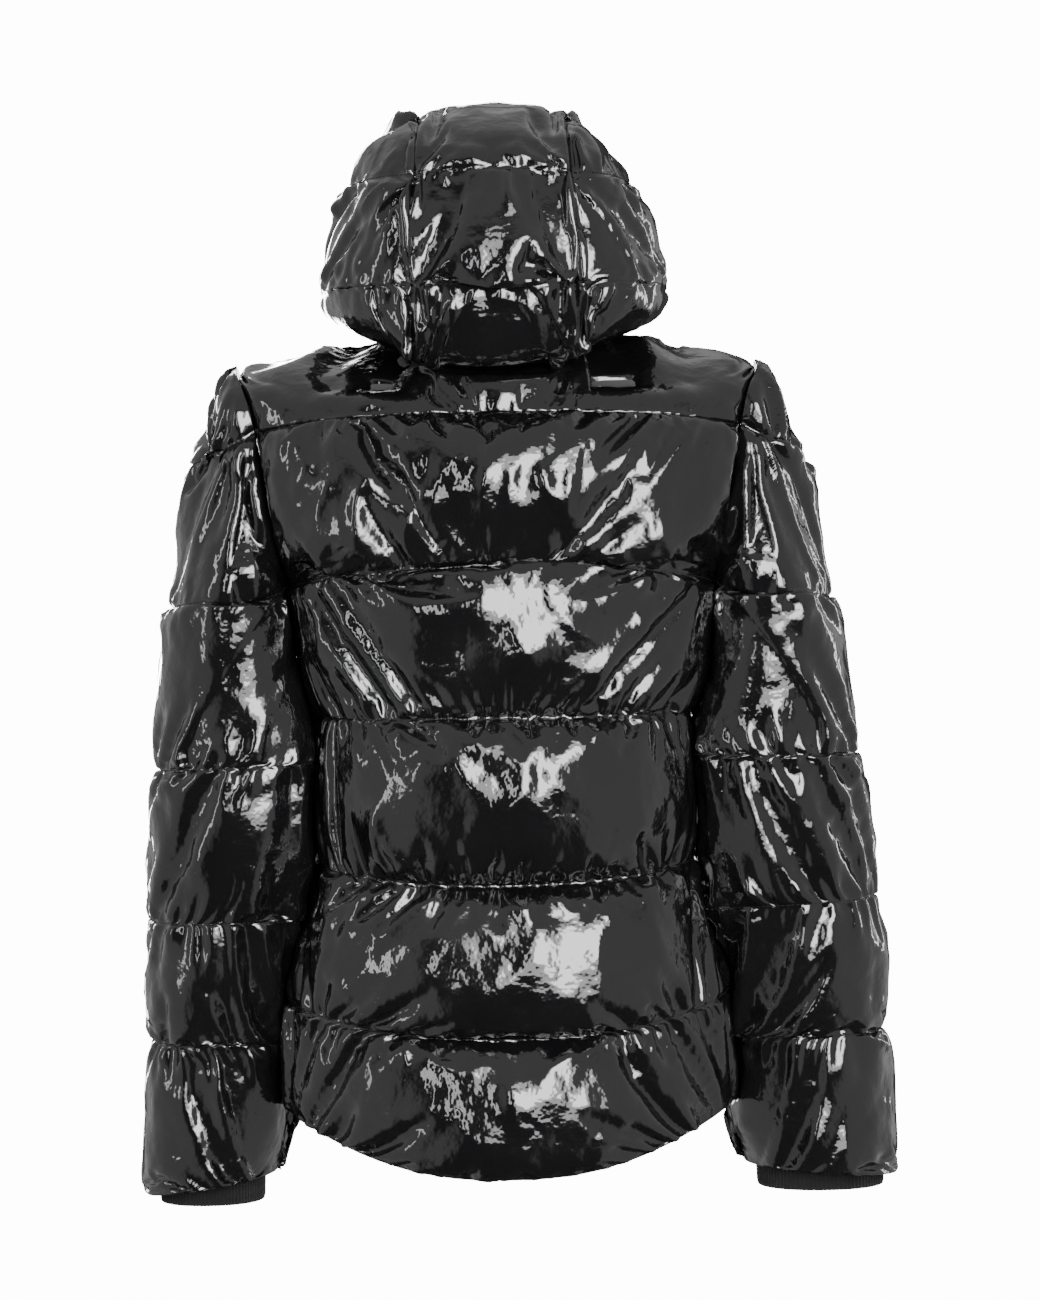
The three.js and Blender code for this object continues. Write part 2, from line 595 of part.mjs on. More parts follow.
// A closed tube wall between two sets of closed rings
function tubeMesh(name, { inner, outer }, material, mirror) {
  const around = outer[0].length;
  const positions = [];
  const index = [];
  const add = (point) => positions.push(mirror ? -point.x : point.x, point.y, point.z) / 3 - 1;
  const face = outer.map((row) => row.map(add));
  const back = inner.map((row) => row.map(add));
  const loops = [...face, ...back.reverse()];
  loops.forEach((loop, k) => {
    const next = loops[(k + 1) % loops.length];
    for (let c = 0; c < around; c++) {
      const d = (c + 1) % around;
      index.push(loop[c], loop[d], next[d], loop[c], next[d], next[c]);
    }
  });
  if (signedVolume(positions, index) < 0) for (let i = 0; i < index.length; i += 3) index.splice(i, 2, index[i + 1], index[i]);
  const geometry = new THREE.BufferGeometry();
  geometry.setAttribute("position", new THREE.Float32BufferAttribute(positions, 3));
  geometry.setIndex(index);
  geometry.computeVertexNormals();
  const mesh = new THREE.Mesh(geometry, new THREE.MeshStandardMaterial(material));
  mesh.name = name;
  return mesh;
}

// A point of the hood's side panel: share 0 is the front edge and share 1 the seam with the centre panel
function hoodSidePoint(at, share, side) {
  const get = (name) => column(HOOD, name, at);
  const half = get("half") + (side ? get(side) : 0);
  const start = new THREE.Vector3(get("frontX"), get("frontY"), get("frontZ"));
  const end = new THREE.Vector3(get("seamX"), get("seamY"), get("seamZ"));
  const reach = (half - (start.x + end.x) / 8) / 0.75;
  const height = (get("halfZ") - (start.z + end.z) / 8) / 0.75;
  const curve = new THREE.CubicBezierCurve3(
    start,
    new THREE.Vector3(reach, mix(start.y, end.y, 0.16), height),
    new THREE.Vector3(reach, end.y, height),
    end,
  );
  const point = curve.getPoint(share);
  // Near the neckline the panel follows the body's neck ring
  const onNeck = clamp(1 - at / 0.9, 0, 1) ** 2;
  if (onNeck > 0) {
    const from = -angleAtX(LEVEL.neck, ZIP_HALF + SEAM_GAP);
    const to = Math.PI / 2 - (Math.PI / 2 - angleAtX(LEVEL.neck, HOOD_STRIP_NECK));
    point.lerp(bodyPoint(LEVEL.neck, mix(from, to, share)), onNeck);
    point.z += NECK_GAP * onNeck;
  }
  return point;
}

function hoodMitre(point) {
  const away = point.clone().sub(HOOD_MIDDLE);
  away.x = Math.sign(point.x) * 0.5 * Math.hypot(away.y, away.z);
  return away.normalize();
}

const HOOD_ROWS = joinRows(channelRows(0, 2), channelRows(2, 4), channelRows(4, 6));

// The wall of a hood panel from its inner grid: seamShare gives each row's share of its channel
function hoodWall(inner, seamShare, isSide, seamPoints) {
  const rows = inner.length;
  const columns = inner[0].length - 1;
  const sign = inner[Math.floor(rows / 2)][1].x < 0 && isSide ? -1 : 1;
  const outer = inner.map((points, r) =>
    points.map((point, c) => {
      const around = points[Math.min(c + 1, columns)].clone().sub(points[Math.max(c - 1, 0)]);
      const up = inner[Math.min(r + 1, rows - 1)][c].clone().sub(inner[Math.max(r - 1, 0)][c]);
      const own = around.cross(up).multiplyScalar(sign).normalize();
      if (own.dot(point.clone().sub(HOOD_MIDDLE)) < 0) own.negate();
      const fromSeam = distanceTo(seamPoints, new THREE.Vector3(Math.abs(point.x), point.y, point.z));
      const fromNeck = distanceTo(NECK_LOOP, point);
      let out = turnTo(own, hoodMitre(point), fromSeam, 24);
      out = turnTo(out, neckMitre(point), fromNeck, 34);
      const back = clamp(out.y, 0, 1) ** 2;
      const top = clamp(out.z, 0, 1) ** 2;
      const full = HOOD_PUFF.back * back + HOOD_PUFF.top * top + HOOD_PUFF.side * (1 - back - top);
      const share = seamShare(r, c);
      const fromFront = isSide ? edgeRise(point.distanceTo(points[0]), 22) : 1;
      const swell = rise(share) * mix(0.35, 1, edgeRise(fromSeam, 26)) * edgeRise(fromNeck, 36) * mix(0.4, 1, fromFront);
      const waves = gather(c * 16, share, r % 3);
      const face = point.clone().addScaledVector(out, WALL + full * swell + 0.5 * waves * swell);
      return keptTo(1, NECK_LOOP, face, NECK_GAP * 0.8);
    }),
  );
  return { inner, outer };
}

// The seam between the side panels and the centre panel: up the back, then forward over the crown
function hoodSeam() {
  const up = HOOD_ROWS.map((at) => hoodSidePoint(at, 1));
  const { places } = evenly((share) => hoodSidePoint(6, 1 - share), HOOD_SIDE_COLUMNS);
  const over = places.slice(1).map((share) => hoodSidePoint(6, 1 - share));
  return [...up, ...over];
}
const HOOD_SEAM = hoodSeam();
const HOOD_SEAM_LOOP = HOOD_SEAM.map((point) => ({ point }));

function hoodSide(side) {
  const inner = HOOD_ROWS.map((at, r) => {
    const last = r === HOOD_ROWS.length - 1;
    const curve = (share) => hoodSidePoint(at, share, side);
    const { places } = evenly(last ? (share) => curve(1 - share) : curve, HOOD_SIDE_COLUMNS);
    const points = last ? places.map((share) => curve(1 - share)).reverse() : places.map(curve);
    points.forEach((p, c) => {
      if (c === HOOD_SIDE_COLUMNS || last) p.x += SEAM_GAP * 0.7;
    });
    return points;
  });
  const share = (r) => (r % ROWS_PER_CHANNEL) / ROWS_PER_CHANNEL;
  const even = (r) => 0.5 - 0.5 * Math.cos(Math.PI * share(r));
  return hoodWall(inner, (r) => even(r), true, HOOD_SEAM_LOOP);
}

function hoodCentre() {
  const inner = HOOD_SEAM.map((seam, r) => {
    const before = HOOD_SEAM[Math.max(r - 1, 0)];
    const after = HOOD_SEAM[Math.min(r + 1, HOOD_SEAM.length - 1)];
    const along = after.clone().sub(before);
    const out = new THREE.Vector3(0, along.z, -along.y).normalize();
    const grown = clamp(r / 4, 0, 1);
    const bow = mix(HOOD_STRIP_BOW.back, HOOD_STRIP_BOW.top, clamp(out.z, 0, 1)) * grown;
    return Array.from({ length: HOOD_STRIP_COLUMNS + 1 }, (_, c) => {
      const across = (2 * c) / HOOD_STRIP_COLUMNS - 1;
      const x = (seam.x - SEAM_GAP * 0.7) * across;
      const point = new THREE.Vector3(x, seam.y, seam.z).addScaledVector(out, bow * (1 - across * across));
      if (grown < 1) {
        const neck = bodyPoint(LEVEL.neck, angleAtX(LEVEL.neck, Math.abs(seam.x * across)));
        point.y = mix(seam.y + (neck.y - bodyPoint(LEVEL.neck, angleAtX(LEVEL.neck, HOOD_STRIP_NECK)).y) * (1 - grown), point.y, grown);
        if (r === 0) point.z = neck.z + NECK_GAP;
      }
      return point;
    });
  });
  const overCrown = HOOD_SEAM.length - HOOD_ROWS.length;
  const share = (r) => {
    if (r <= 2 * ROWS_PER_CHANNEL) return 0.5 - 0.5 * Math.cos((Math.PI * (r % ROWS_PER_CHANNEL)) / ROWS_PER_CHANNEL);
    const left = r - 2 * ROWS_PER_CHANNEL;
    const middle = ROWS_PER_CHANNEL + overCrown / 2;
    return left <= middle ? left / middle : (left - middle) / (overCrown - middle + ROWS_PER_CHANNEL);
  };
  return hoodWall(inner, share, false, HOOD_SEAM_LOOP);
}

// The zip's line from hem to chin, at the wall's inner face, with the direction it faces
function zipLine() {
  const body = [...LOWER_LEVELS, ...YOKE_LEVELS.slice(1)].map((level) => bodyPoint(level, -Math.PI / 2));
  const hood = HOOD_ROWS.filter((at) => at > 0 && at <= ZIP_TOP_ROW + 0.01).map((at) => hoodSidePoint(at, 0));
  return [...body, ...hood].map((p) => new THREE.Vector3(0, p.y, p.z));
}

function zipPanel() {
  const line = zipLine();
  const facing = line.map((_, i) => {
    const along = line[Math.min(i + 1, line.length - 1)].clone().sub(line[Math.max(i - 1, 0)]);
    return new THREE.Vector3(0, -along.z, along.y).normalize();
  });
  const grid = (depth) =>
    line.map((point, i) => [-1, 0, 1].map((side) => point.clone().setX(side * ZIP_HALF).addScaledVector(facing[i], depth)));
  return { inner: grid(1), outer: grid(1 + ZIP_THICKNESS) };
}

// A mesh as a closed solid, and back
function toManifold(geometry) {
  const bare = geometry.clone();
  bare.deleteAttribute("normal");
  bare.deleteAttribute("uv");
  const merged = mergeVertices(bare, 1e-4);
  const mesh = new wasm.Mesh({
    numProp: 3,
    vertProperties: merged.attributes.position.array,
    triVerts: new Uint32Array(merged.index.array),
  });
  return new wasm.Manifold(mesh);
}

function fromManifold(solid) {
  const { vertProperties, triVerts } = solid.getMesh();
  const geometry = new THREE.BufferGeometry();
  geometry.setAttribute("position", new THREE.BufferAttribute(vertProperties, 3));
  geometry.setIndex(new THREE.BufferAttribute(triVerts, 1));
  geometry.computeVertexNormals();
  return geometry;
}

// The slider: a plate on the zip with a bridge whose eye holds the pull tab
const SLIDER = { height: -26, width: 9, length: 13, plate: 2.2, bridgeWidth: 3.6, eye: 4.4, bar: 1.5, clearance: 0.3 };
const TAB = { width: 9, length: 34, thickness: 1.4, bar: 2, hole: 5.2, round: 3 };

// The place on the zip's outer face at the slider's height, with the zip's direction there
function sliderPlace() {
  const line = zipLine();
  const next = line.findIndex((point) => point.z > SLIDER.height);
  const along = line[next].clone().sub(line[next - 1]);
  const point = line[next - 1].clone().addScaledVector(along, (SLIDER.height - line[next - 1].z) / along.z);
  const up = along.normalize();
  const facing = new THREE.Vector3(0, -up.z, up.y);
  return { point: point.addScaledVector(facing, 1 + ZIP_THICKNESS + SLIDER.clearance), up, facing };
}

// Built with the zip along z and its face towards -y, then set on the zip
function sliderGeometry({ point, up, facing }) {
  const plate = new THREE.BoxGeometry(SLIDER.width, SLIDER.plate, SLIDER.length).translate(0, -SLIDER.plate / 2, 0);
  const half = SLIDER.eye / 2 + SLIDER.bar;
  const reach = SLIDER.plate + SLIDER.eye + SLIDER.bar;
  const profile = new THREE.Shape();
  profile.moveTo(-half, SLIDER.plate / 2);
  profile.lineTo(half, SLIDER.plate / 2);
  profile.lineTo(half, reach - 1.2);
  profile.lineTo(half - 1.2, reach);
  profile.lineTo(1.2 - half, reach);
  profile.lineTo(-half, reach - 1.2);
  profile.holes.push(new THREE.Path().absarc(0, SLIDER.plate + SLIDER.eye / 2, SLIDER.eye / 2, 0, 2 * Math.PI, true));
  const bridge = new THREE.ExtrudeGeometry(profile, { depth: SLIDER.bridgeWidth, bevelEnabled: false, curveSegments: 8 });
  bridge.translate(0, 0, -SLIDER.bridgeWidth / 2);
  const toFront = new THREE.Matrix4().makeBasis(
    new THREE.Vector3(0, 0, 1),
    new THREE.Vector3(0, -1, 0),
    new THREE.Vector3(1, 0, 0),
  );
  const geometry = fromManifold(toManifold(plate).add(toManifold(bridge.applyMatrix4(toFront))));
  const set = new THREE.Matrix4().makeBasis(new THREE.Vector3(1, 0, 0), facing.clone().negate(), up).setPosition(point);
  return geometry.applyMatrix4(set);
}

// The pull tab hangs straight down from the slider's eye
function tabGeometry(hinge) {
  const { width, length, thickness, bar, hole, round } = TAB;
  const outline = new THREE.Shape();
  outline.moveTo(-width / 2, bar / 2);
  outline.lineTo(-width / 2, -length + round);
  outline.absarc(-width / 2 + round, -length + round, round, Math.PI, 1.5 * Math.PI, false);
  outline.absarc(width / 2 - round, -length + round, round, 1.5 * Math.PI, 2 * Math.PI, false);
  outline.lineTo(width / 2, bar / 2);
  const side = SLIDER.bridgeWidth / 2 + 0.6;
  const gap = new THREE.Path();
  gap.moveTo(-side, -bar / 2);
  gap.lineTo(side, -bar / 2);
  gap.lineTo(side, -bar / 2 - hole);
  gap.lineTo(-side, -bar / 2 - hole);
  outline.holes.push(gap);
  const geometry = new THREE.ExtrudeGeometry(outline, { depth: thickness, bevelEnabled: false, curveSegments: 5 });
  geometry.translate(0, 0, -thickness / 2).rotateX(Math.PI / 2);
  return geometry.translate(hinge.x, hinge.y, hinge.z);
}

const jacket = new THREE.Group();
const shell = { ...BLACK_VINYL };

const openTop = (panel) => {
  // A panel that meets another above it ends half a gap short of the seam
  panel.inner.at(-1).forEach((p) => (p.z -= SEAM_GAP));
  panel.outer.at(-1).forEach((p) => (p.z -= SEAM_GAP));
  return panel;
};

const back = openTop(backPanel(LOWER_LEVELS));
jacket.add(wallMesh("back", back.inner, back.outer, shell));
const backYoke = backPanel(YOKE_LEVELS);
jacket.add(wallMesh("back_yoke", backYoke.inner, backYoke.outer, shell, false, 3));
const front = openTop(frontPanel(LOWER_LEVELS));
const frontYoke = frontPanel(YOKE_LEVELS);
for (const side of ["left", "right"]) {
  const mirror = side === "right";
  jacket.add(wallMesh("front_" + side, front.inner, front.outer, shell, mirror));
  jacket.add(wallMesh("front_yoke_" + side, frontYoke.inner, frontYoke.outer, shell, mirror, 3));
  const sleeve = sleevePanel(side);
  // A sleeve is sewn from two tubes that meet at the elbow, and a cap above the armpit
  const lower = openTop(sleeveTube(sleeve, 0, ELBOW_ROW));
  const upper = openTop(sleeveTube(sleeve, ELBOW_ROW, ARMPIT_ROW));
  const cap = sleeveTube(sleeve, ARMPIT_ROW, sleeve.inner.length - 1);
  jacket.add(wallMesh("sleeve_lower_" + side, lower.inner, lower.outer, shell, mirror));
  jacket.add(wallMesh("sleeve_upper_" + side, upper.inner, upper.outer, shell, mirror));
  jacket.add(wallMesh("sleeve_cap_" + side, cap.inner, cap.outer, shell, mirror));
  jacket.add(tubeMesh("cuff_band_" + side, cuffBand(sleeve), BLACK_KNIT, mirror));
  const hood = hoodSide(side);
  jacket.add(wallMesh("hood_side_" + side, hood.inner, hood.outer, shell, mirror));
}
const centre = hoodCentre();
jacket.add(wallMesh("hood_centre", centre.inner, centre.outer, shell, false, 1));
const zip = zipPanel();
jacket.add(wallMesh("zip", zip.inner, zip.outer, BLACK_ZIP));

const place = sliderPlace();
const hinge = place.point.clone().addScaledVector(place.facing, SLIDER.plate + SLIDER.eye / 2);
for (const [name, geometry] of [
  ["zip_slider", sliderGeometry(place)],
  ["pull_tab", tabGeometry(hinge)],
]) {
  const mesh = new THREE.Mesh(geometry, new THREE.MeshStandardMaterial(DARK_METAL));
  mesh.name = name;
  jacket.add(mesh);
}

export default jacket;
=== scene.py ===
# %% [markdown]
# # A glossy hooded puffer jacket
# A puffer is two layers of cloth with down or fibre between them, stitched through in rows. Each row of stitches
# pulls the layers together and gathers the cloth, and the channel between two rows swells. We build the jacket the
# way it is made: every panel is cut flat and larger than the form it is sewn to, sewn down along its quilting rows,
# and blown up with Blender's cloth. The wrinkles then come from too much cloth on too short a seam, as they do in the
# real jacket.

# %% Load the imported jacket
import math

import bpy
import numpy as np
from mathutils import Matrix, Vector


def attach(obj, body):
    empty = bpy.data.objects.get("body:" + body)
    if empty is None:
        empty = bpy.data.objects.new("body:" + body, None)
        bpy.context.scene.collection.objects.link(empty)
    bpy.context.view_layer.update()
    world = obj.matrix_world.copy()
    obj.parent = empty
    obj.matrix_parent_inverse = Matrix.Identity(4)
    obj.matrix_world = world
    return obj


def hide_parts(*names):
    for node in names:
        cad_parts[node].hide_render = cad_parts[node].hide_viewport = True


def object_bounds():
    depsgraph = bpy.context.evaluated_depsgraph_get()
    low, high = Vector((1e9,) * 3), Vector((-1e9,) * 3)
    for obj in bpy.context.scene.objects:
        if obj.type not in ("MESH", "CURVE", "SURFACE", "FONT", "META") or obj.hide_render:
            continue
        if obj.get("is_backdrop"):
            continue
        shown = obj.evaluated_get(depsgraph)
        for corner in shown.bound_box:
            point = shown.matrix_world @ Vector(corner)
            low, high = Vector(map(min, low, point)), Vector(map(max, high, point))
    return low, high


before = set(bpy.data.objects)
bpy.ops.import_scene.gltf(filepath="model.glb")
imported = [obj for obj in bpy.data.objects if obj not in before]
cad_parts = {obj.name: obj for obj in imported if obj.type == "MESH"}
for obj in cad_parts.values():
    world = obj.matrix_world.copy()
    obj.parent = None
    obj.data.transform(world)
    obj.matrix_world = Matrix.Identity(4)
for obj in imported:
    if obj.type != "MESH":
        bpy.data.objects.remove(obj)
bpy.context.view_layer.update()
MM = 0.001
print("nodes:", sorted(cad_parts))

# %% [markdown]
# ## The photographer's place
# A product photograph is taken from far away with a long lens, so that the jacket keeps its proportions. The camera
# stands behind the jacket, at about waist height, and is turned by one degree, which we can tell from the leaning
# back seam.

# %% Camera
CAMERA_DISTANCE = 3.2
FRAME_HEIGHT = 1.092
SENSOR = 36.0
CAMERA_ROLL = math.radians(1.0)
CAMERA_ASIDE, CAMERA_HEIGHT = -0.0152, -0.2604

lens = bpy.data.cameras.new("camera")
lens.sensor_width = SENSOR
lens.lens = SENSOR * CAMERA_DISTANCE / FRAME_HEIGHT
camera = bpy.data.objects.new("camera", lens)
bpy.context.scene.collection.objects.link(camera)
cosine, sine = math.cos(CAMERA_ROLL), math.sin(CAMERA_ROLL)
camera.matrix_world = Matrix((
    (-cosine, -sine, 0, CAMERA_ASIDE),
    (0, 0, 1, CAMERA_DISTANCE),
    (-sine, cosine, 0, CAMERA_HEIGHT),
    (0, 0, 0, 1),
))
bpy.context.scene.camera = camera
print("lens:", round(lens.lens, 1), "mm")

# %% [markdown]
# ## The form
# Before any cloth there is the shape that the jacket takes on a body. We describe it by rings, as a tailor's form is
# measured: one at each quilting row, with its heights at the side, the back and the front, its half width, its
# depths, and how square it is. These are the same numbers as in the jacket's source, so that the cloth lies where the
# solids are.

# %% Measures of the body
RING = ("side", "back", "front", "half", "back_deep", "front_deep", "square")
BODY = np.array([
    (-641, -688, -655, 180, 126, 116, 2.4),  # hem
    (-548, -575, -556, 172, 119, 112, 2.4),  # hip seam
    (-438, -451, -444, 142, 108, 104, 2.4),  # waist seam
    (-313, -315, -314, 146, 116, 112, 2.4),  # rib seam
    (-205, -193, -197, 174, 124, 118, 2.6),  # armpit seam
    (-86, -69, -82, 210, 110, 102, 3.4),  # yoke seam
    (-37, -49, -68, 212, 86, 92, 3.1),  # shoulder point
    (-23, -29, -62, 146, 70, 85, 2.6),  # mid shoulder
    (5, -5, -54, 74, 60, 78, 2.2),  # neck
])
ARMPIT, YOKE, SHOULDER, NECK = 4, 5, 6, 8
PUFF = ("from", "to", "side", "back", "front")
BODY_PUFF = np.array([
    (0, 1, 12, 25, 22),  # hem channel
    (1, 2, 20, 29, 26),  # hip channel
    (2, 3, 10, 29, 26),  # waist channel
    (3, 4, 8, 27, 25),  # rib channel
    (4, 5, 12, 24, 22),  # chest channel
    (5, 8, 20, 15, 15),  # yoke
])
WALL = 5.0  # least thickness, where the layers are stitched together
SEAM_GAP = 0.4  # between the walls of two panels
NECK_GAP = 0.9  # between the neckline and the hood
ZIP_HALF = 6.0
ARMHOLE_HALF = 66.0  # from its middle to its front or its back
print(len(BODY), "rings,", len(BODY_PUFF), "channels")

# %% [markdown]
# Between two rings we follow a smooth curve through the table, so that one short row of numbers says a whole ring. A
# ring is a squared oval, and its height sinks or rises towards the back and the front.

# %% Points on the body
def column(rows, at):
    """Values of a table at places between its rows, on a smooth curve through them."""
    last = len(rows) - 1
    i = np.clip(np.floor(at).astype(int), 0, last - 1)
    t = (at - i)[..., None]
    start, end = rows[i], rows[i + 1]
    before, after = rows[np.maximum(i - 1, 0)], rows[np.minimum(i + 2, last)]
    start_slope = (end - before) / np.where(i > 0, 2, 1)[..., None]
    end_slope = (after - start) / np.where(i + 1 < last, 2, 1)[..., None]
    t2, t3 = t * t, t * t * t
    return (start * (2 * t3 - 3 * t2 + 1) + start_slope * (t3 - 2 * t2 + t)
            + end * (3 * t2 - 2 * t3) + end_slope * (t3 - t2))


def ring_at(level):
    return dict(zip(RING, np.moveaxis(column(BODY, np.clip(level, 0, NECK)), -1, 0)))


def body_point(level, angle):
    """The body's inner face. Angle 0 is the wearer's left side, 90 degrees the back."""
    level, angle = np.broadcast_arrays(np.asarray(level, float), np.asarray(angle, float))
    ring = ring_at(level)
    cosine, sine = np.cos(angle), np.sin(angle)
    exponent = 2 / ring["square"]
    reach = np.abs(sine) ** exponent
    behind = sine >= 0
    deep = np.where(behind, ring["back_deep"], ring["front_deep"])
    end = np.where(behind, ring["back"], ring["front"])
    dip = 3 - np.clip(level, 0, 1)
    return np.stack([
        ring["half"] * np.sign(cosine) * np.abs(cosine) ** exponent,
        np.sign(sine) * reach * deep,
        ring["side"] + (end - ring["side"]) * reach ** dip,
    ], -1)


def unit(vectors):
    return vectors / np.maximum(np.linalg.norm(vectors, axis=-1, keepdims=True), 1e-9)


def body_normal(level, angle):
    around = body_point(level, angle + 0.01) - body_point(level, angle - 0.01)
    up = body_point(level + 0.02, angle) - body_point(level - 0.02, angle)
    return unit(np.cross(around, up))


print("back waist, mm:", np.round(body_point(2, math.pi / 2), 1))

# %% [markdown]
# ## Where pieces meet
# Two padded walls that meet at a fold share one direction of thickness there, like the mitre of a picture frame. The
# armhole and the neckline are such folds. Each is kept as a line of points with the direction across both walls that
# leads from the inner piece to the outer one, and a wall that comes over the line is moved back to its own side.

# %% Armhole and neckline
ARMHOLE_DROP, ARMHOLE_LEAN = 118, 0.2  # how low its middle is, and how far its fold leans outward at the top
NECK_BACK, NECK_UP, NECK_DOWN = 55, 0.22, 0.87  # the neck's fold points up at the front, and down at the back
ARMHOLE_STEPS, NECK_STEPS = 40, 90
ON_THE_LINE = 1.2  # a loop is kept as points, so a place this near to one is on the line


def side_angle(level, facing):
    """Where the armhole, or below it the side seam, cuts a ring."""
    level = np.asarray(level, float)
    ring = ring_at(level)
    share = np.clip(np.abs(level - YOKE), 0, 1)
    depth = ring["back_deep" if facing > 0 else "front_deep"]
    ratio = np.clip(ARMHOLE_HALF * np.sqrt(1 - share**2) / depth, 0, 1)
    return np.arcsin(ratio ** (ring["square"] / 2))


def armhole_point(level, facing):
    return body_point(level, facing * side_angle(level, facing))


def armhole_mitre(points):
    out = unit(points * (0, 1, 1) + (0, 0, ARMHOLE_DROP))
    out[..., 0] = ARMHOLE_LEAN * np.maximum(out[..., 2], 0)
    return unit(out)


def neck_mitre(points):
    out = unit(points * (1, 1.1, 0))
    back = np.clip(points[..., 1] / NECK_BACK, 0, 1) ** 2
    out[..., 2] = NECK_UP - NECK_DOWN * back
    return unit(out)


def seam_loop(points, mitre, across):
    """A closed line of points, and at each point the direction that leads over the line."""
    along = np.roll(points, -1, 0) - np.roll(points, 1, 0)
    over = unit(np.cross(mitre(points), along))
    return points, over * np.sign(over @ across)[:, None]


turn = np.arange(ARMHOLE_STEPS) * math.pi / ARMHOLE_STEPS
armhole = np.concatenate([armhole_point(YOKE - np.cos(turn), 1), armhole_point(YOKE + np.cos(turn), -1)])
neckline = body_point(NECK, np.arange(NECK_STEPS) * math.pi / (NECK_STEPS / 2))
ARMHOLE = seam_loop(armhole, armhole_mitre, np.array((1.0, 0, 0)))
NECKLINE = seam_loop(neckline, neck_mitre, np.array((0, 0, 1.0)))


def nearest(loop, points):
    """For each point, the nearest point of the loop, the direction over it, and how far away it is."""
    flat = points.reshape(-1, 3)
    gap = np.linalg.norm(flat[:, None] - loop[0][None], axis=-1)
    i = gap.argmin(1)
    shape = points.shape
    return loop[0][i].reshape(shape), loop[1][i].reshape(shape), gap.min(1).reshape(shape[:-1])


def distance_to(loop, points):
    return np.maximum(nearest(loop, points)[2] - ON_THE_LINE, 0)


def turned(direction, mitre, distance, reach):
    """A direction that turns into the fold's own where the fold is near."""
    share = (np.clip(1 - distance / reach, 0, 1) ** 2)[..., None]
    return unit(direction * (1 - share) + mitre * share)


def kept_to(side, loop, points, clearance, reach=45.0):
    """Points that came over a loop, moved back to their own side of it."""
    place, over, _ = nearest(loop, points)
    offset = points - place
    beyond = side * (offset * over).sum(-1) - clearance
    moved = (beyond < 0) & (np.linalg.norm(offset, axis=-1) < reach)
    return points - over * (side * np.where(moved, beyond, 0))[..., None]


print("armhole:", len(ARMHOLE[0]), "points, neckline:", len(NECKLINE[0]), "points")

# %% [markdown]
# ## Padding
# The height of the padding rises quickly from a quilting row and is full in the middle of the channel. Next to the
# armhole, the zip and the neckline it is sewn flat.

# %% Height of the padding
FULL_SOON = 0.62  # below 1, the padding is full soon after its row of stitches
LOW_CREST = 1.12  # above 1, gravity has drawn a channel's crest down a little
SIDE_TURN = 1.3  # how fast the padding falls off from the back to the side
SIDE_FILL = 0.45  # the sides below the arm are pinched less at the rows
YOKE_LEAST, YOKE_REACH = 0.45, 90  # padding left at the armhole on the yoke, and mm until it is full
ARMHOLE_REACH = 46  # mm from the armhole until it is full, below the yoke
UNDER_HOOD = (16, 84)  # mm from the neckline between which it rises


def rise(share):
    """Height across a channel, from 0 at its rows to 1 in its middle."""
    return np.sin(math.pi * np.clip(share, 0, 1)) ** FULL_SOON


def edge_rise(distance, reach):
    """A quarter round, from 0 at an edge to 1 at the reach."""
    left = 1 - np.clip(distance / reach, 0, 1)
    return np.sqrt(1 - left * left)


def smooth_step(x, low, high):
    t = np.clip((x - low) / (high - low), 0, 1)
    return t * t * (3 - 2 * t)


def at_least(least, share):
    return least + (1 - least) * share


def to_left(points):
    """What each point is multiplied by to lie on the wearer's left side."""
    return np.where(points[..., :1] < 0, (-1, 1, 1), (1, 1, 1))


def folded(points):
    """The same points on the wearer's left side."""
    return points * to_left(points)


def body_padding(level, angle, points, from_edge):
    channel = np.clip(np.searchsorted(BODY_PUFF[:, 1], level, side="left"), 0, len(BODY_PUFF) - 1)
    puff = dict(zip(PUFF, np.moveaxis(BODY_PUFF[channel], -1, 0)))
    share = (level - puff["from"]) / (puff["to"] - puff["from"])
    turn_share = np.abs(np.sin(angle)) ** SIDE_TURN
    middle = np.where(np.sin(angle) >= 0, puff["back"], puff["front"])
    full = puff["side"] + (middle - puff["side"]) * turn_share
    from_armhole = distance_to(ARMHOLE, folded(points))
    by_yoke = at_least(YOKE_LEAST, smooth_step(from_armhole, 0, YOKE_REACH))
    at_armhole = np.where(level > YOKE, by_yoke, edge_rise(from_armhole, ARMHOLE_REACH))
    at_neck = smooth_step(distance_to(NECKLINE, points), *UNDER_HOOD)
    swell = rise(np.clip(share, 0, 1) ** LOW_CREST)
    swell = swell + (1 - swell) * SIDE_FILL * np.cos(angle) ** 4 * (level > 0.1) * (level < ARMPIT)
    return full * swell * at_armhole * at_neck * from_edge


def angle_at_x(level, x):
    ring = ring_at(np.asarray(level, float))
    return np.arccos(np.clip(x / ring["half"], 0, 1) ** (ring["square"] / 2))


def side_edge(level, facing):
    """The side's angle, moved in by half a seam gap."""
    ring = ring_at(np.asarray(level, float))
    apart = (np.asarray(level) <= ARMPIT) | (np.asarray(level) >= SHOULDER)
    shift = (SEAM_GAP / 2 / (ring["half"] * 0.9)) ** (ring["square"] / 2)
    closed = np.where(apart, 0, side_angle(np.clip(level, ARMPIT, SHOULDER), facing))
    return closed + np.where(apart, shift, 0)


print("padding at the back waist channel:", BODY_PUFF[2, 3], "mm")

# %% [markdown]
# ## Panels as grids
# Each panel is a grid: rows across the jacket, columns up it. A row's columns are spaced evenly along the ring, as
# threads are in cloth. A panel keeps its inner face, the direction its padding grows in, the padding's height, and
# which rows are sewn.

# %% Rows and columns
CHANNEL_ROWS = 24
COLUMN_WIDTH = 5.0  # about, in mm
PATH = np.linspace(0, 1, 97)  # samples along a curve, for measuring it


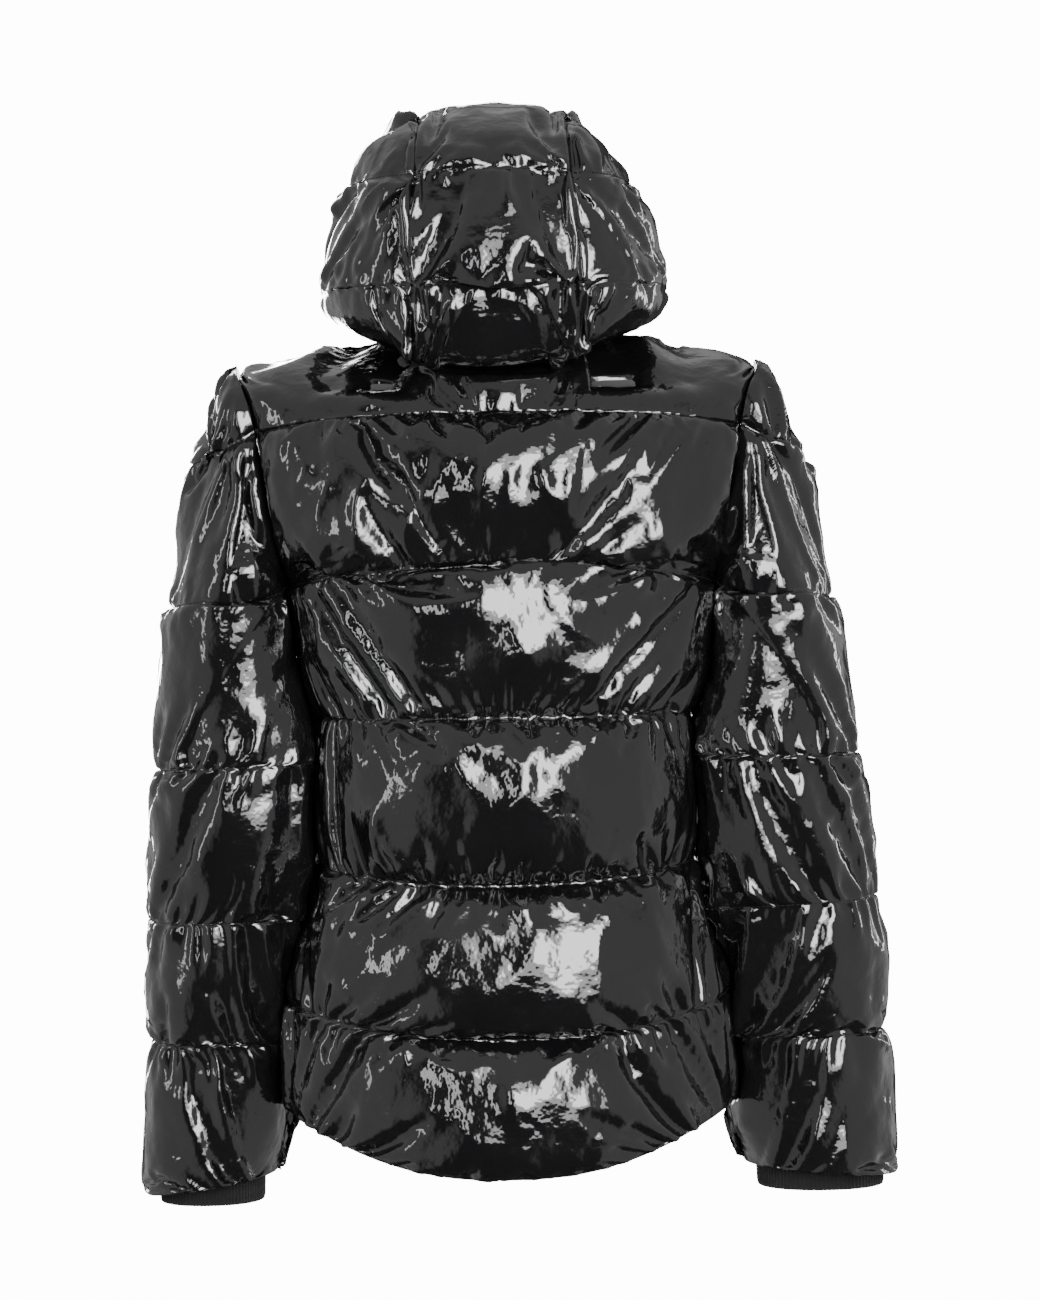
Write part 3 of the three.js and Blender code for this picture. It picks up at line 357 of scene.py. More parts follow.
def channel_rows(start, end, count=CHANNEL_ROWS):
    """Row places between two sewn rows, a little closer together near the rows."""
    k = np.linspace(0, 1, count + 1)
    return start + (end - start) * (k - 0.5 * np.sin(2 * math.pi * k) / (2 * math.pi))


def join_rows(*parts):
    return np.concatenate([part if i == 0 else part[1:] for i, part in enumerate(parts)])


def evenly(curve, count):
    """Places along a curve, spaced evenly, and the curve's length."""
    samples = curve(PATH)
    along = np.concatenate([[0], np.cumsum(np.linalg.norm(np.diff(samples, axis=0), axis=1))])
    return np.interp(np.linspace(0, along[-1], count + 1), along, PATH), along[-1]


def sewn_rows(total, every=CHANNEL_ROWS):
    """Row numbers of the stitched rows: every so many, and always the last."""
    return list(range(0, total, every)) + ([total - 1] if (total - 1) % every else [])


panels = {}


def add_panel(name, inner, out, padding, rows):
    """Keeps a panel, its columns in the order that turns its faces outward."""
    faces = np.cross(np.gradient(inner, axis=1), np.gradient(inner, axis=0))
    if (faces * out).sum() < 0:
        inner, out, padding = inner[:, ::-1], out[:, ::-1], padding[:, ::-1]
    panels[name] = {"inner": inner, "out": out, "padding": padding, "rows": rows}
    print(f"{name}: {inner.shape[0]} x {inner.shape[1]}")


print("rows in a channel:", CHANNEL_ROWS)

# %% [markdown]
# ## Back, fronts and yokes
# The back is one panel with five channels from the hem to the yoke seam. The fronts are the same, parted by the zip.

# %% Body panels
LOWER = join_rows(*[channel_rows(k, k + 1) for k in range(5)])
UPPER = channel_rows(YOKE, NECK)
ARMHOLE_TURN, NECK_TURN = 30, 34  # mm over which a wall turns into its fold
EDGE_LEAST, EDGE_REACH, ZIP_REACH = 0.62, 26, 34  # padding left at a side edge; mm from it and the zip until full


def body_panel(name, levels, columns, edges, from_edge):
    """A panel of the body, from the angles of its two edges at each level."""
    rows, angles, along = [], [], []
    for level in levels:
        start, end = edges(level)
        places, total = evenly(
            lambda t: body_point(np.full_like(t, level), start + (end - start) * t), columns
        )
        angle = start + (end - start) * places
        angles.append(angle)
        rows.append(body_point(np.full_like(angle, level), angle))
        along.append(from_edge(np.linspace(0, total, columns + 1), total))
    inner, angles = np.array(rows), np.array(angles)
    level = np.repeat(levels[:, None], columns + 1, 1)
    mirror = to_left(inner)
    left = inner * mirror
    own = body_normal(level, angles) * mirror
    out = turned(own, armhole_mitre(left), distance_to(ARMHOLE, left), ARMHOLE_TURN) * mirror
    out = turned(out, neck_mitre(inner), distance_to(NECKLINE, inner), NECK_TURN)
    padding = body_padding(level, angles, inner, np.array(along))
    add_panel(name, inner, out, padding, sewn_rows(len(levels)))


def back_edges(level):
    edge = float(side_edge(level, 1))
    return edge, math.pi - edge


def front_edges(level):
    return -float(side_edge(level, -1)), -float(angle_at_x(level, ZIP_HALF + SEAM_GAP))


def back_sewn(along, total):
    return at_least(EDGE_LEAST, edge_rise(np.minimum(along, total - along), EDGE_REACH))


def front_sewn(along, total):
    return at_least(EDGE_LEAST, edge_rise(along, EDGE_REACH)) * edge_rise(total - along, ZIP_REACH)


BACK_COLUMNS, FRONT_COLUMNS = 96, 48
body_panel("back", LOWER, BACK_COLUMNS, back_edges, back_sewn)
body_panel("back_yoke", UPPER, BACK_COLUMNS, back_edges, back_sewn)
body_panel("front_left", LOWER, FRONT_COLUMNS, front_edges, front_sewn)
body_panel("front_yoke_left", UPPER, FRONT_COLUMNS, front_edges, front_sewn)

# %% [markdown]
# ## Sleeves
# A sleeve is one panel rolled round until its edges meet under the arm. Its cap is cut out where it meets the
# armhole, and the rows there run from the front of the armhole over the outside to the back. The arms hang close to
# the body, so the inner side of a sleeve follows the body's channels and is pressed flat by them.

# %% Measures of the sleeves
# Outermost point, its height, middle, half depth and the angle cut open, at every half level from the armpit up.
CAP = np.array([
    (270, -222, 227, 76, 0),
    (258, -163, 211, 74, 55),
    (246, -106, 203, 69, 86),
    (227, -62, 206, 57, 90),
    (214, -37, 211, 3, 90),
])
# Height inside, height outside, outermost point, middle depth and half depth, from the armpit down to the cuff.
SLEEVES = {
    "left": np.array([
        (-205, -222, 270, 0, 76),
        (-350, -356, 284, -8, 71),
        (-480, -483, 294, -19, 65),
        (-585, -585, 294, -30, 58),
        (-696, -716, 304, -40, 56),
    ]),
    "right": np.array([
        (-205, -222, 270, 0, 76),
        (-348, -352, 290, -8, 72),
        (-476, -472, 304, -18, 68),
        (-585, -585, 309, -27, 60),
        (-694, -707, 322, -36, 60),
    ]),
}
SLEEVE_INSIDE = np.array([  # height, distance of the sleeve's inner side from the middle
    (-705, 206), (-650, 191), (-603, 192), (-556, 184), (-500, 182),
    (-438, 156), (-375, 155), (-313, 157), (-262, 176), (-215, 182),
])
SLEEVE_PUFF = {"outer": 9.0, "front_back": 15.0, "inner": 2.0}
SLEEVE_LEAST = 4.0  # the inner side's padding, pressed flat
SLEEVE_COLUMNS = 72
CAP_TOP = 5.92  # the level of the last row
print("sleeve columns:", SLEEVE_COLUMNS)

# %% [markdown]
# A sleeve has to know how far the body bulges beside it. We keep that as a coarse map of the body's flank: for each
# cell of depth and height, the farthest point sideways. Looking into a map is much faster than testing two meshes for
# touching.

# %% The body's flank
FLANK_CELL, FLANK_GAP, LEAST_WALL = 6.0, 1.6, 3.5
FLANK_SHAPE = (60, 140)  # cells from front to back, and from below the hem to above the neck
FLANK_ORIGIN = (30, 125)  # the cell that the origin lies in


def flank_cell(points):
    y = np.round(points[..., 1] / FLANK_CELL).astype(int) + FLANK_ORIGIN[0]
    z = np.round(points[..., 2] / FLANK_CELL).astype(int) + FLANK_ORIGIN[1]
    return np.clip(y, 0, FLANK_SHAPE[0] - 1), np.clip(z, 0, FLANK_SHAPE[1] - 1)


def flank_of(points):
    """How far the body reaches sideways in each cell of depth and height."""
    flank = np.zeros(FLANK_SHAPE)
    np.maximum.at(flank, flank_cell(points), np.abs(points[..., 0]))
    return flank


def body_reach(flank, points, stretch):
    """How far the body reaches sideways beside each point, also some way up and down from it."""
    y, z = flank_cell(points)
    reach = np.zeros(points.shape[:-1])
    steps = int(round(stretch / FLANK_CELL))
    for dy in (-1, 0, 1):
        for dz in range(-steps, steps + 1):
            row, cell = np.clip(y + dy, 0, FLANK_SHAPE[0] - 1), np.clip(z + dz, 0, FLANK_SHAPE[1] - 1)
            reach = np.maximum(reach, flank[row, cell])
    return reach


def swollen(panel):
    """The panel's outer face at full padding."""
    return panel["inner"] + panel["out"] * (WALL + panel["padding"][..., None])


body_flank = flank_of(np.concatenate([swollen(panels[name]).reshape(-1, 3) for name in ("back", "front_left")]))
print("flank at its widest:", round(body_flank.max(), 1), "mm")

# %% [markdown]
# Below the armpit a sleeve's ring is closed, a little squarer than an oval. Above it the ring is open, and its two
# ends lie on the armhole, where the sleeve is sewn in.

# %% Sleeve rings
SQUARE = 0.92  # below 1, the oval is squarer
UNDERARM = 0.09  # share of the first channel in which the ring still touches the armpit
SLEEVE_APART = SEAM_GAP + 0.3  # how far outside the armhole the sleeve's wall begins


def bent(x):
    return np.sign(x) * np.abs(x) ** SQUARE


def inside_of(z):
    at = np.interp(z, SLEEVE_INSIDE[:, 0], np.arange(len(SLEEVE_INSIDE)))
    return float(column(SLEEVE_INSIDE, np.array(at))[1])


def sleeve_curve(side, ring=None, level=None):
    """A sleeve's ring as a function of a share: from the underarm round the front, the outside and the back."""
    apart = np.array((SLEEVE_APART, 0, 0))
    if level is None:
        z_in, z_out, outer, middle_y, deep = column(SLEEVES[side], np.array(ring))
        inner = inside_of(float(z_in))
        middle, radius = (inner + outer) / 2, (outer - inner) / 2
        armpit = armhole_point(ARMPIT, 1) + apart

        def curve(t):
            angle = -math.pi + 2 * math.pi * t
            x = middle + radius * bent(np.cos(angle))
            inside = math.exp(-((ring / UNDERARM) ** 2)) * ((1 - np.cos(angle)) / 2) ** 6
            z = z_in + (z_out - z_in) * (1 + np.cos(angle)) / 2
            return np.stack([x + (armpit[0] - x) * inside, middle_y + deep * bent(np.sin(angle)), z], -1)
        return curve

    outer, z_out, middle, deep, cut = column(CAP, np.array((level - ARMPIT) * 2))
    radius, cut = outer - middle, math.radians(cut)
    ends = [armhole_point(level, facing) + apart for facing in (-1, 1)]

    def oval(t):
        angle = -math.pi + cut + (2 * math.pi - 2 * cut) * np.asarray(t, float)
        z = np.full_like(angle, ends[0][2])
        return np.stack([middle + radius * bent(np.cos(angle)), deep * bent(np.sin(angle)), z], -1)

    def curve(t):
        points = oval(t)
        points[..., 2] += (z_out - ends[0][2]) * np.sin(math.pi * t)
        points += (ends[0] - oval(0.0)) * ((1 - t) ** 4)[:, None]
        return points + (ends[1] - oval(1.0)) * (t**4)[:, None]
    return curve


def crown_of_armhole():
    """The last row, over the top of the armhole."""
    y = ARMHOLE_HALF * math.sqrt(1 - (CAP_TOP - YOKE) ** 2) * np.linspace(-1, 1, SLEEVE_COLUMNS + 1)
    level = YOKE + np.sqrt(1 - (y / ARMHOLE_HALF) ** 2)
    facing = np.where(y < 0, -1, 1)
    points = [armhole_point(one, side) for one, side in zip(level, facing)]
    return np.array(points) + (SLEEVE_APART, 0, 0)


print("sleeve inside at the waist:", round(inside_of(-438.0)), "mm")

# %% Sleeve panels
RINGS = join_rows(*[channel_rows(k, k - 1.0) for k in (4.0, 3.0, 2.0, 1.0)])
CAP_LEVELS = join_rows(channel_rows(ARMPIT, YOKE), channel_rows(YOKE, CAP_TOP, 12))[1:-1]
FLANK_STRETCH = 24  # mm up and down that the body's bulge holds a sleeve's inner face off
CAP_CHANNEL = 1.35  # the top channel would end above the armhole, so the sleeve's head stays full
CAP_CREST = 0.75  # share of the top channel where its padding is fullest; from there it stays as high
CAP_LEAST, CAP_REACH, SLEEVE_REACH = 0.75, 22, 40  # the same at the armhole, on the cap and below it


def sleeve_panel(side):
    """The sleeve's rows from cuff to shoulder, its directions, and its padding."""
    rows, share = [], []
    for k, place in enumerate(list(RINGS) + list(CAP_LEVELS)):
        low = k < len(RINGS)
        curve = sleeve_curve(side, ring=place) if low else sleeve_curve(side, level=place)
        points = curve(evenly(curve, SLEEVE_COLUMNS)[0])
        if low:
            points[0, 1] -= SEAM_GAP / 2
            points[-1, 1] += SEAM_GAP / 2
            if place > 0.1:
                clear = body_reach(body_flank, points, FLANK_STRETCH) + FLANK_GAP + LEAST_WALL
                points[:, 0] = np.maximum(points[:, 0], clear)
        rows.append(points)
        share.append(place % 1 if low else place - ARMPIT if place <= YOKE else (place - YOKE) / CAP_CHANNEL)
    rows.append(crown_of_armhole())
    share.append(1.0)
    inner, share = np.array(rows), np.array(share)[:, None]
    ring = np.concatenate([inner[:, -2:-1], inner, inner[:, 1:2]], 1)
    around = ring[:, 2:] - ring[:, :-2]
    open_rows = np.arange(len(inner)) >= len(RINGS)
    around[open_rows, 0] = inner[open_rows, 1] - inner[open_rows, 0]
    around[open_rows, -1] = inner[open_rows, -1] - inner[open_rows, -2]
    out = unit(np.cross(around, np.gradient(inner, axis=0)))
    mitre = armhole_mitre(inner)
    out[-1] = mitre[-1]
    from_armhole = distance_to(ARMHOLE, inner)
    out = turned(out, mitre, from_armhole, ARMHOLE_TURN)
    sideways = out[..., 0] ** 2
    outward = np.where(out[..., 0] > 0, SLEEVE_PUFF["outer"], SLEEVE_PUFF["inner"])
    full = SLEEVE_PUFF["front_back"] * (1 - sideways) + outward * sideways
    row = np.arange(len(inner))
    on_cap = (row >= len(RINGS) + CHANNEL_ROWS)[:, None]
    cap_edge = at_least(CAP_LEAST, edge_rise(from_armhole, CAP_REACH))
    at_armhole = np.where(on_cap, cap_edge, edge_rise(from_armhole, SLEEVE_REACH))
    padding = full * rise(np.minimum(share**0.9, np.where(on_cap, CAP_CREST, 1))) * at_armhole
    facing_body = np.clip(-out[..., 0] - 0.5, 0, 0.4) / 0.4
    sunk = (row > 1) & (row < len(RINGS) - 4)
    padding = np.maximum(padding, SLEEVE_LEAST * facing_body * sunk[:, None])
    if side == "right":
        inner, out = inner * (-1, 1, 1), out * (-1, 1, 1)
    sewn = [*range(0, len(RINGS) + CHANNEL_ROWS, CHANNEL_ROWS), len(inner) - 1]
    add_panel("sleeve_" + side, inner, out, padding, sewn)


sleeve_panel("left")
sleeve_panel("right")

# %% [markdown]
# ## Hood
# The hood has a centre panel that runs up the back and over the crown to the forehead, and two side panels. A side
# panel's row is a curve from the face opening to the seam with the centre panel, bowed out over the ear.

# %% Measures of the hood
# Front edge x, y, z, seam x, y, z, reach sideways and its height, from the neckline to the crown.
HOOD = np.array([
    (6.5, -78, -54, 45, 50, -4, 74, 5),
    (8, -96, -10, 62, 108, -19, 128, 18),
    (50, -112, 34, 64, 130, 37, 139, 37),
    (74, -110, 80, 63, 132, 82, 125, 82),
    (78, -103, 120, 61, 122, 123, 114, 122),
    (70, -96, 148, 59, 100, 153, 94, 154),
    (57, -88, 162, 57, 66, 169, 60, 176),
])
HOOD_MORE = {  # how much farther each side reaches at the same rows, because the hood lies a little askew
    "left": np.array((0, 0, 0, 0, 4.0, 15, 0)),
    "right": np.array((0, 0, -2.0, -6, -4, 0, 0)),
}
HOOD_MIDDLE = np.array((0, 15.0, 85.0))
HOOD_PUFF = {"side": 9.0, "back": 14.0, "top": 5.0}
HOOD_STRIP_NECK = 45.0
HOOD_BOW = {"back": 9.0, "top": 4.0}
HOOD_ROWS, HOOD_SIDE_COLUMNS, HOOD_STRIP_COLUMNS = 16, 48, 24
print("hood rows:", 3 * HOOD_ROWS)

# %% Hood side panels
HOOD_FRONT_LEAN = 0.16  # how far back the row's curve starts off
ON_NECK = 0.9  # levels over which the hood frees itself from the neckline
HOOD_TURN = 24  # mm over which the walls turn into the seam
HOOD_SEAM_LEAST, HOOD_SEAM_REACH, HOOD_NECK_REACH = 0.35, 26, 22  # padding left at the seam; mm until full
HOOD_EDGE_LEAST, HOOD_EDGE_REACH = 0.4, 22  # and at the face opening


def hood_side_point(at, t, side=None):
    """A place on a side panel, by its row and its share of the way from the face opening to the seam."""
    values = column(HOOD, np.array(float(at)))
    front, seam, half, half_z = values[:3], values[3:6], values[6], values[7]
    if side:
        half = half + column(HOOD_MORE[side][:, None], np.array(float(at)))[0]
    reach = (half - (front[0] + seam[0]) / 8) / 0.75
    height = (half_z - (front[2] + seam[2]) / 8) / 0.75
    first = np.array((reach, front[1] + (seam[1] - front[1]) * HOOD_FRONT_LEAN, height))
    second = np.array((reach, seam[1], height))
    t = np.asarray(t, float)[..., None]
    points = front * (1 - t) ** 3 + first * 3 * t * (1 - t) ** 2 + second * 3 * t**2 * (1 - t) + seam * t**3
    on_neck = max(1 - at / ON_NECK, 0) ** 2
    if on_neck > 0:
        start = -float(angle_at_x(NECK, ZIP_HALF + SEAM_GAP))
        end = float(angle_at_x(NECK, HOOD_STRIP_NECK))
        neck = body_point(NECK, start + (end - start) * t[..., 0])
        points = points + (neck - points) * on_neck
        points[..., 2] += NECK_GAP * on_neck
    return points


def hood_wall(name, inner, share, is_side, sewn):
    """Directions and padding for a panel of the hood: most at the back, least on top."""
    out = unit(np.cross(np.gradient(inner, axis=1), np.gradient(inner, axis=0)))
    out *= np.sign((out * (inner - HOOD_MIDDLE)).sum(-1, keepdims=True))
    from_seam = distance_to((HOOD_SEAM, HOOD_SEAM), folded(inner))
    from_neck = distance_to(NECKLINE, inner)
    away = inner - HOOD_MIDDLE
    away[..., 0] = np.sign(inner[..., 0]) * 0.5 * np.hypot(away[..., 1], away[..., 2])
    out = turned(out, unit(away), from_seam, HOOD_TURN)
    out = turned(out, neck_mitre(inner), from_neck, NECK_TURN)
    back, top = np.clip(out[..., 1], 0, 1) ** 2, np.clip(out[..., 2], 0, 1) ** 2
    full = HOOD_PUFF["back"] * back + HOOD_PUFF["top"] * top + HOOD_PUFF["side"] * (1 - back - top)
    at_seam = at_least(HOOD_SEAM_LEAST, edge_rise(from_seam, HOOD_SEAM_REACH))
    from_front = np.linalg.norm(inner - inner[:, :1], axis=-1)
    at_front = at_least(HOOD_EDGE_LEAST, edge_rise(from_front, HOOD_EDGE_REACH) if is_side else 1.0)
    add_panel(name, inner, out, full * (rise(share) * at_seam * edge_rise(from_neck, HOOD_NECK_REACH) * at_front), sewn)


HOOD_LEVELS = join_rows(*[channel_rows(k, k + 2.0, HOOD_ROWS) for k in (0.0, 2.0, 4.0)])
CROWN = len(HOOD) - 1
crown_places = evenly(lambda t: hood_side_point(CROWN, 1 - t), HOOD_SIDE_COLUMNS)[0][1:]
HOOD_SEAM = np.concatenate([[hood_side_point(at, 1.0) for at in HOOD_LEVELS], hood_side_point(CROWN, 1 - crown_places)])


def hood_side(side):
    """Rows up to the crown; the last row is the seam's way over the crown to the forehead."""
    rows = []
    for at in HOOD_LEVELS[:-1]:
        places = evenly(lambda t: hood_side_point(at, t, side), HOOD_SIDE_COLUMNS)[0]
        rows.append(hood_side_point(at, places, side))
    rows.append(HOOD_SEAM[len(HOOD_LEVELS) - 1:][::-1])
    inner = np.array(rows) * (1 if side == "left" else -1, 1, 1)
    share = (np.arange(len(rows)) % HOOD_ROWS / HOOD_ROWS)[:, None]
    hood_wall("hood_side_" + side, inner, share, True, sewn_rows(len(rows), HOOD_ROWS))


hood_side("left")
hood_side("right")

# %% [markdown]
# The centre panel hangs between the two seams, bowed outward. At its foot it follows the neckline, and frees itself
# from it over two thirds of its first channel.

# %% Hood centre panel
SEAM_INSET = 0.02
FREED = 0.66  # of the first channel
along = np.gradient(HOOD_SEAM, axis=0)
outward = unit(np.stack([0 * along[:, 0], along[:, 2], -along[:, 1]], -1))
grown = np.clip(np.arange(len(HOOD_SEAM)) / (HOOD_ROWS * FREED), 0, 1)[:, None]
bow = (HOOD_BOW["back"] + (HOOD_BOW["top"] - HOOD_BOW["back"]) * np.clip(outward[:, 2:], 0, 1)) * grown
across = np.linspace(-1, 1, HOOD_STRIP_COLUMNS + 1)[None]
x = (HOOD_SEAM[:, :1] - SEAM_INSET) * across
lift = bow * (1 - across**2)
y, z = HOOD_SEAM[:, 1:2] + outward[:, 1:2] * lift, HOOD_SEAM[:, 2:] + outward[:, 2:] * lift
neck = body_point(NECK, angle_at_x(NECK, np.abs(HOOD_SEAM[:, :1] * across)))
edge = body_point(NECK, angle_at_x(NECK, HOOD_STRIP_NECK))
y = (HOOD_SEAM[:, 1:2] + (neck[..., 1] - edge[1]) * (1 - grown)) * (1 - grown) + y * grown
z[0] = neck[0, :, 2] + NECK_GAP
over_crown = HOOD_ROWS * 3 + HOOD_SIDE_COLUMNS // 2
HOOD_STRIP_SEWN = [0, HOOD_ROWS, HOOD_ROWS * 2, over_crown, len(HOOD_SEAM) - 1]
share = np.interp(np.arange(len(HOOD_SEAM)), HOOD_STRIP_SEWN, range(5)) % 1
hood_wall("hood_centre", np.stack([x, y, z], -1), share[:, None], False, HOOD_STRIP_SEWN)

# %% Right-hand panels
for name in ("front_right", "front_yoke_right"):
    left, mirror = panels[name.replace("right", "left")], (-1, 1, 1)
    add_panel(name, left["inner"] * mirror, left["out"] * mirror, left["padding"], left["rows"])

# %% [markdown]
# ## Cut flat, sewn down and blown up
# The cloth of a channel is as wide as the swollen channel, and the seam under it is shorter. So we give Blender's
# cloth a second shape to take its lengths from, the panel as it is cut: flat, and wider than the form. The quilting
# rows and the edges are pinned, as stitches hold them, and pressure blows up the rest. What cloth the seams can't
# take stands up in gathers.

# %% Cut pattern
FULLNESS, PATCH_FULLNESS = 1.015, 0.07  # everywhere, and more in patches
CROSS_FULLNESS = 1.02  # across the channels
GATHERED = 0.08  # how much longer the cloth may be than the seam that it is gathered onto
BY_SEAM = 0.45  # share of a channel in which that holds
PATCH_EVERY, PATCH_REACH = 110, (22, 60)


def channel_of(panel):
    """For each row, its channel's number and its share of the channel's width."""
    rows = np.arange(panel["inner"].shape[0])
    sewn = np.array(panel["rows"])
    number = np.clip(np.searchsorted(sewn, rows, side="right") - 1, 0, len(sewn) - 2)
    return number, (rows - sewn[number]) / (sewn[number + 1] - sewn[number])


def length_along(panel):
    """For each point of the inner face, its distance along its row from the row's start."""
    return np.cumsum(np.linalg.norm(np.diff(panel["inner"], axis=1, prepend=panel["inner"][:, :1]), axis=-1), 1)


def patches(panel, number, random):
    """How much spare cloth there is, from 0 to 1: it lies in patches, so the creases do too."""
    along = length_along(panel)[:, :-1]
    spare = np.zeros(along.shape)
    for k in range(number.max() + 1):
        mine = number == k
        width = along[mine].max()
        for _ in range(max(2, round(width / PATCH_EVERY))):
            centre, reach = random.uniform(0, width), random.uniform(*PATCH_REACH)
            spare[mine] += random.uniform(0.4, 1) * np.exp(-(((along[mine] - centre) / reach) ** 2))
    return np.clip(spare, 0, 1)


def cut_flat(panel, random):
    """The panel's flat shape: near its seams a channel is almost as wide as it is at its crest."""
    outer = swollen(panel)
    along = np.linalg.norm(np.diff(outer, axis=1), axis=-1)
    cross = np.linalg.norm(np.diff(outer, axis=0), axis=-1) * CROSS_FULLNESS
    number, share = channel_of(panel)
    widest = np.array([along[number == k].max(0) for k in range(number.max() + 1)])
    at_seam = np.exp(-((np.minimum(share, 1 - share) / BY_SEAM) ** 2))
    at_seam *= (number > 0) | (share > 0.5)  # the hem itself isn't gathered
    width = np.minimum(widest[number], along * (1 + GATHERED * at_seam[:, None]))
    width = width * (FULLNESS + PATCH_FULLNESS * patches(panel, number, random))
    u = np.concatenate([np.zeros((len(width), 1)), np.cumsum(width, 1)], 1)
    u -= u[:, u.shape[1] // 2][:, None]
    step = np.sqrt(np.maximum(cross**2 - np.diff(u, axis=0) ** 2, (cross * 0.5) ** 2))
    v = np.concatenate([np.zeros((1, u.shape[1])), np.cumsum(step, 0)], 0)
    v -= v[v.shape[0] // 2]
    return np.stack([u, v, 0 * u], -1)


random = np.random.default_rng(3)
for name, panel in panels.items():
    panel["flat"] = cut_flat(panel, random)
    width, height, _ = np.ptp(panel["flat"].reshape(-1, 3), axis=0)
    print(f"{name} as cut: {width:.0f} x {height:.0f} mm")

# %% [markdown]
# Perfectly even cloth under pressure would swell without a fold. Small ripples along the seams tell it where to start
# folding, as the hand of the person at the sewing machine does.

# %% First ripples
RIPPLE, RIPPLE_LENGTH, RIPPLES = 2.2, (22, 80), 4  # height and lengths in mm, waves laid over each other
BY_ROW = 0.3  # share of a channel that ripples on either side of a row
ANY_PHASE = (0, 7)


def first_ripples(panel, random):
    number, share = channel_of(panel)
    along = length_along(panel)
    height = np.zeros(along.shape)
    for k in range(number.max() + 1):
        mine = number == k
        for row in (0, 1):
            near = np.exp(-(((share[mine] - row) / BY_ROW) ** 2)) * np.sin(math.pi * share[mine]) ** 0.5
            wave = 0
            for _ in range(RIPPLES):
                size, length = random.uniform(0.5, 1), random.uniform(*RIPPLE_LENGTH)
                wave = wave + size * np.sin(2 * math.pi * along[mine] / length + random.uniform(*ANY_PHASE))
            height[mine] += wave * near[:, None]
    return height * RIPPLE


print("ripples:", RIPPLES, "waves at each row")

# %% [markdown]
# One simulation takes all panels at once. Their edges are pinned, so neighbours can't come apart. The object has two
# shapes: `worn` is where the cloth starts, and `cut flat` is where it takes its lengths from.

# %% One cloth for all panels
NAMES = sorted(panels)
START = 0.6  # share of the padding that the cloth starts with


def grid_faces(shape, start):
    i = np.arange(shape[0] * shape[1]).reshape(shape) + start
    corners = (i[:-1, :-1], i[:-1, 1:], i[1:, 1:], i[1:, :-1])
    return np.stack([corner.ravel() for corner in corners], -1)


def build_cloth():
    """One mesh of all panels, its stitched rows and edges in a vertex group, with its two shapes."""
    random = np.random.default_rng(11)
    points, flats, faces, pinned, start = [], [], [], [], 0
    for name in NAMES:
        panel = panels[name]
        shape = panel["inner"].shape[:2]
        height = WALL + panel["padding"] * START + first_ripples(panel, random)
        held = np.zeros(shape, bool)
        held[panel["rows"]] = held[:, 0] = held[:, -1] = True
        height[held] = (WALL + panel["padding"])[held]
        points.append((panel["inner"] + panel["out"] * height[..., None]).reshape(-1, 3))
        flats.append(panel["flat"].reshape(-1, 3))
        faces.append(grid_faces(shape, start))
        pinned.append(held.ravel())
        start += shape[0] * shape[1]
    points, flats = np.concatenate(points) * MM, np.concatenate(flats) * MM
    mesh = bpy.data.meshes.new("cloth")
    mesh.from_pydata(points.tolist(), [], np.concatenate(faces).tolist())
    cloth = bpy.data.objects.new("cloth", mesh)
    bpy.context.scene.collection.objects.link(cloth)
    sewn = cloth.vertex_groups.new(name="sewn")
    sewn.add(np.flatnonzero(np.concatenate(pinned)).tolist(), 1.0, "REPLACE")
    cloth.shape_key_add(name="worn")
    cloth.shape_key_add(name="cut flat").data.foreach_set("co", flats.ravel())
    return cloth


cloth = build_cloth()
print("cloth:", len(cloth.data.vertices), "points")

# %% Blow it up
FRAMES = 13
PRESSURE = 260.0
STIFF, SHEAR, BENDING, DAMPING = 50.0, 16.0, 20.0, 5.0  # a thin, closely woven, coated cloth


def blow_up(cloth):
    """The cloth's points in mm after some frames of pressure."""
    split = cloth.modifiers.new("Keeps the rest shape", "EDGE_SPLIT")
    split.use_edge_angle = split.use_edge_sharp = False  # it splits nothing, but lets the cut pattern reach the cloth
    modifier = cloth.modifiers.new("Cloth", "CLOTH")
    settings = modifier.settings
    settings.quality = 5
    settings.mass = 0.3
    settings.air_damping = 1.0
    settings.tension_stiffness = settings.compression_stiffness = STIFF
    settings.shear_stiffness = SHEAR
    settings.bending_model = "ANGULAR"
    settings.bending_stiffness = BENDING
    settings.tension_damping = settings.compression_damping = settings.shear_damping = DAMPING
    settings.vertex_group_mass = "sewn"
    settings.rest_shape_key = cloth.data.shape_keys.key_blocks["cut flat"]
    settings.use_pressure = True
    settings.uniform_pressure_force = PRESSURE
    settings.effector_weights.gravity = 0.0
    modifier.collision_settings.use_collision = False
    modifier.point_cache.frame_end = FRAMES
    for number in range(1, FRAMES + 1):
        bpy.context.scene.frame_set(number)
    evaluated = cloth.evaluated_get(bpy.context.evaluated_depsgraph_get())
    points = np.empty(len(cloth.data.vertices) * 3)
    evaluated.data.vertices.foreach_get("co", points)
    return points.reshape(-1, 3) / MM


started = np.empty(len(cloth.data.vertices) * 3)
cloth.data.vertices.foreach_get("co", started)
blown = blow_up(cloth)
bpy.data.objects.remove(cloth)
start = 0
for name in NAMES:
    panel = panels[name]
    size = panel["inner"].shape[0] * panel["inner"].shape[1]
    panel["cloth"] = blown[start:start + size].reshape(panel["inner"].shape)
    start += size
    height = ((panel["cloth"] - panel["inner"]) * panel["out"]).sum(-1) - WALL
    print(f"{name}: padding {panel['padding'].max():.0f} mm, blown to {np.percentile(height, 99):.0f} mm")

# %% [markdown]
# ## Settle the cloth
# Pressure knows nothing of neighbours. We hold each panel between its wall and the height its filling allows, on its
# own side of the armhole and the neckline, and the sleeves clear of the body that has swollen beside them.

# %% Uneven filling
LUMP, LUMPS, LUMP_LENGTH = 0.55, 14, (45, 130)


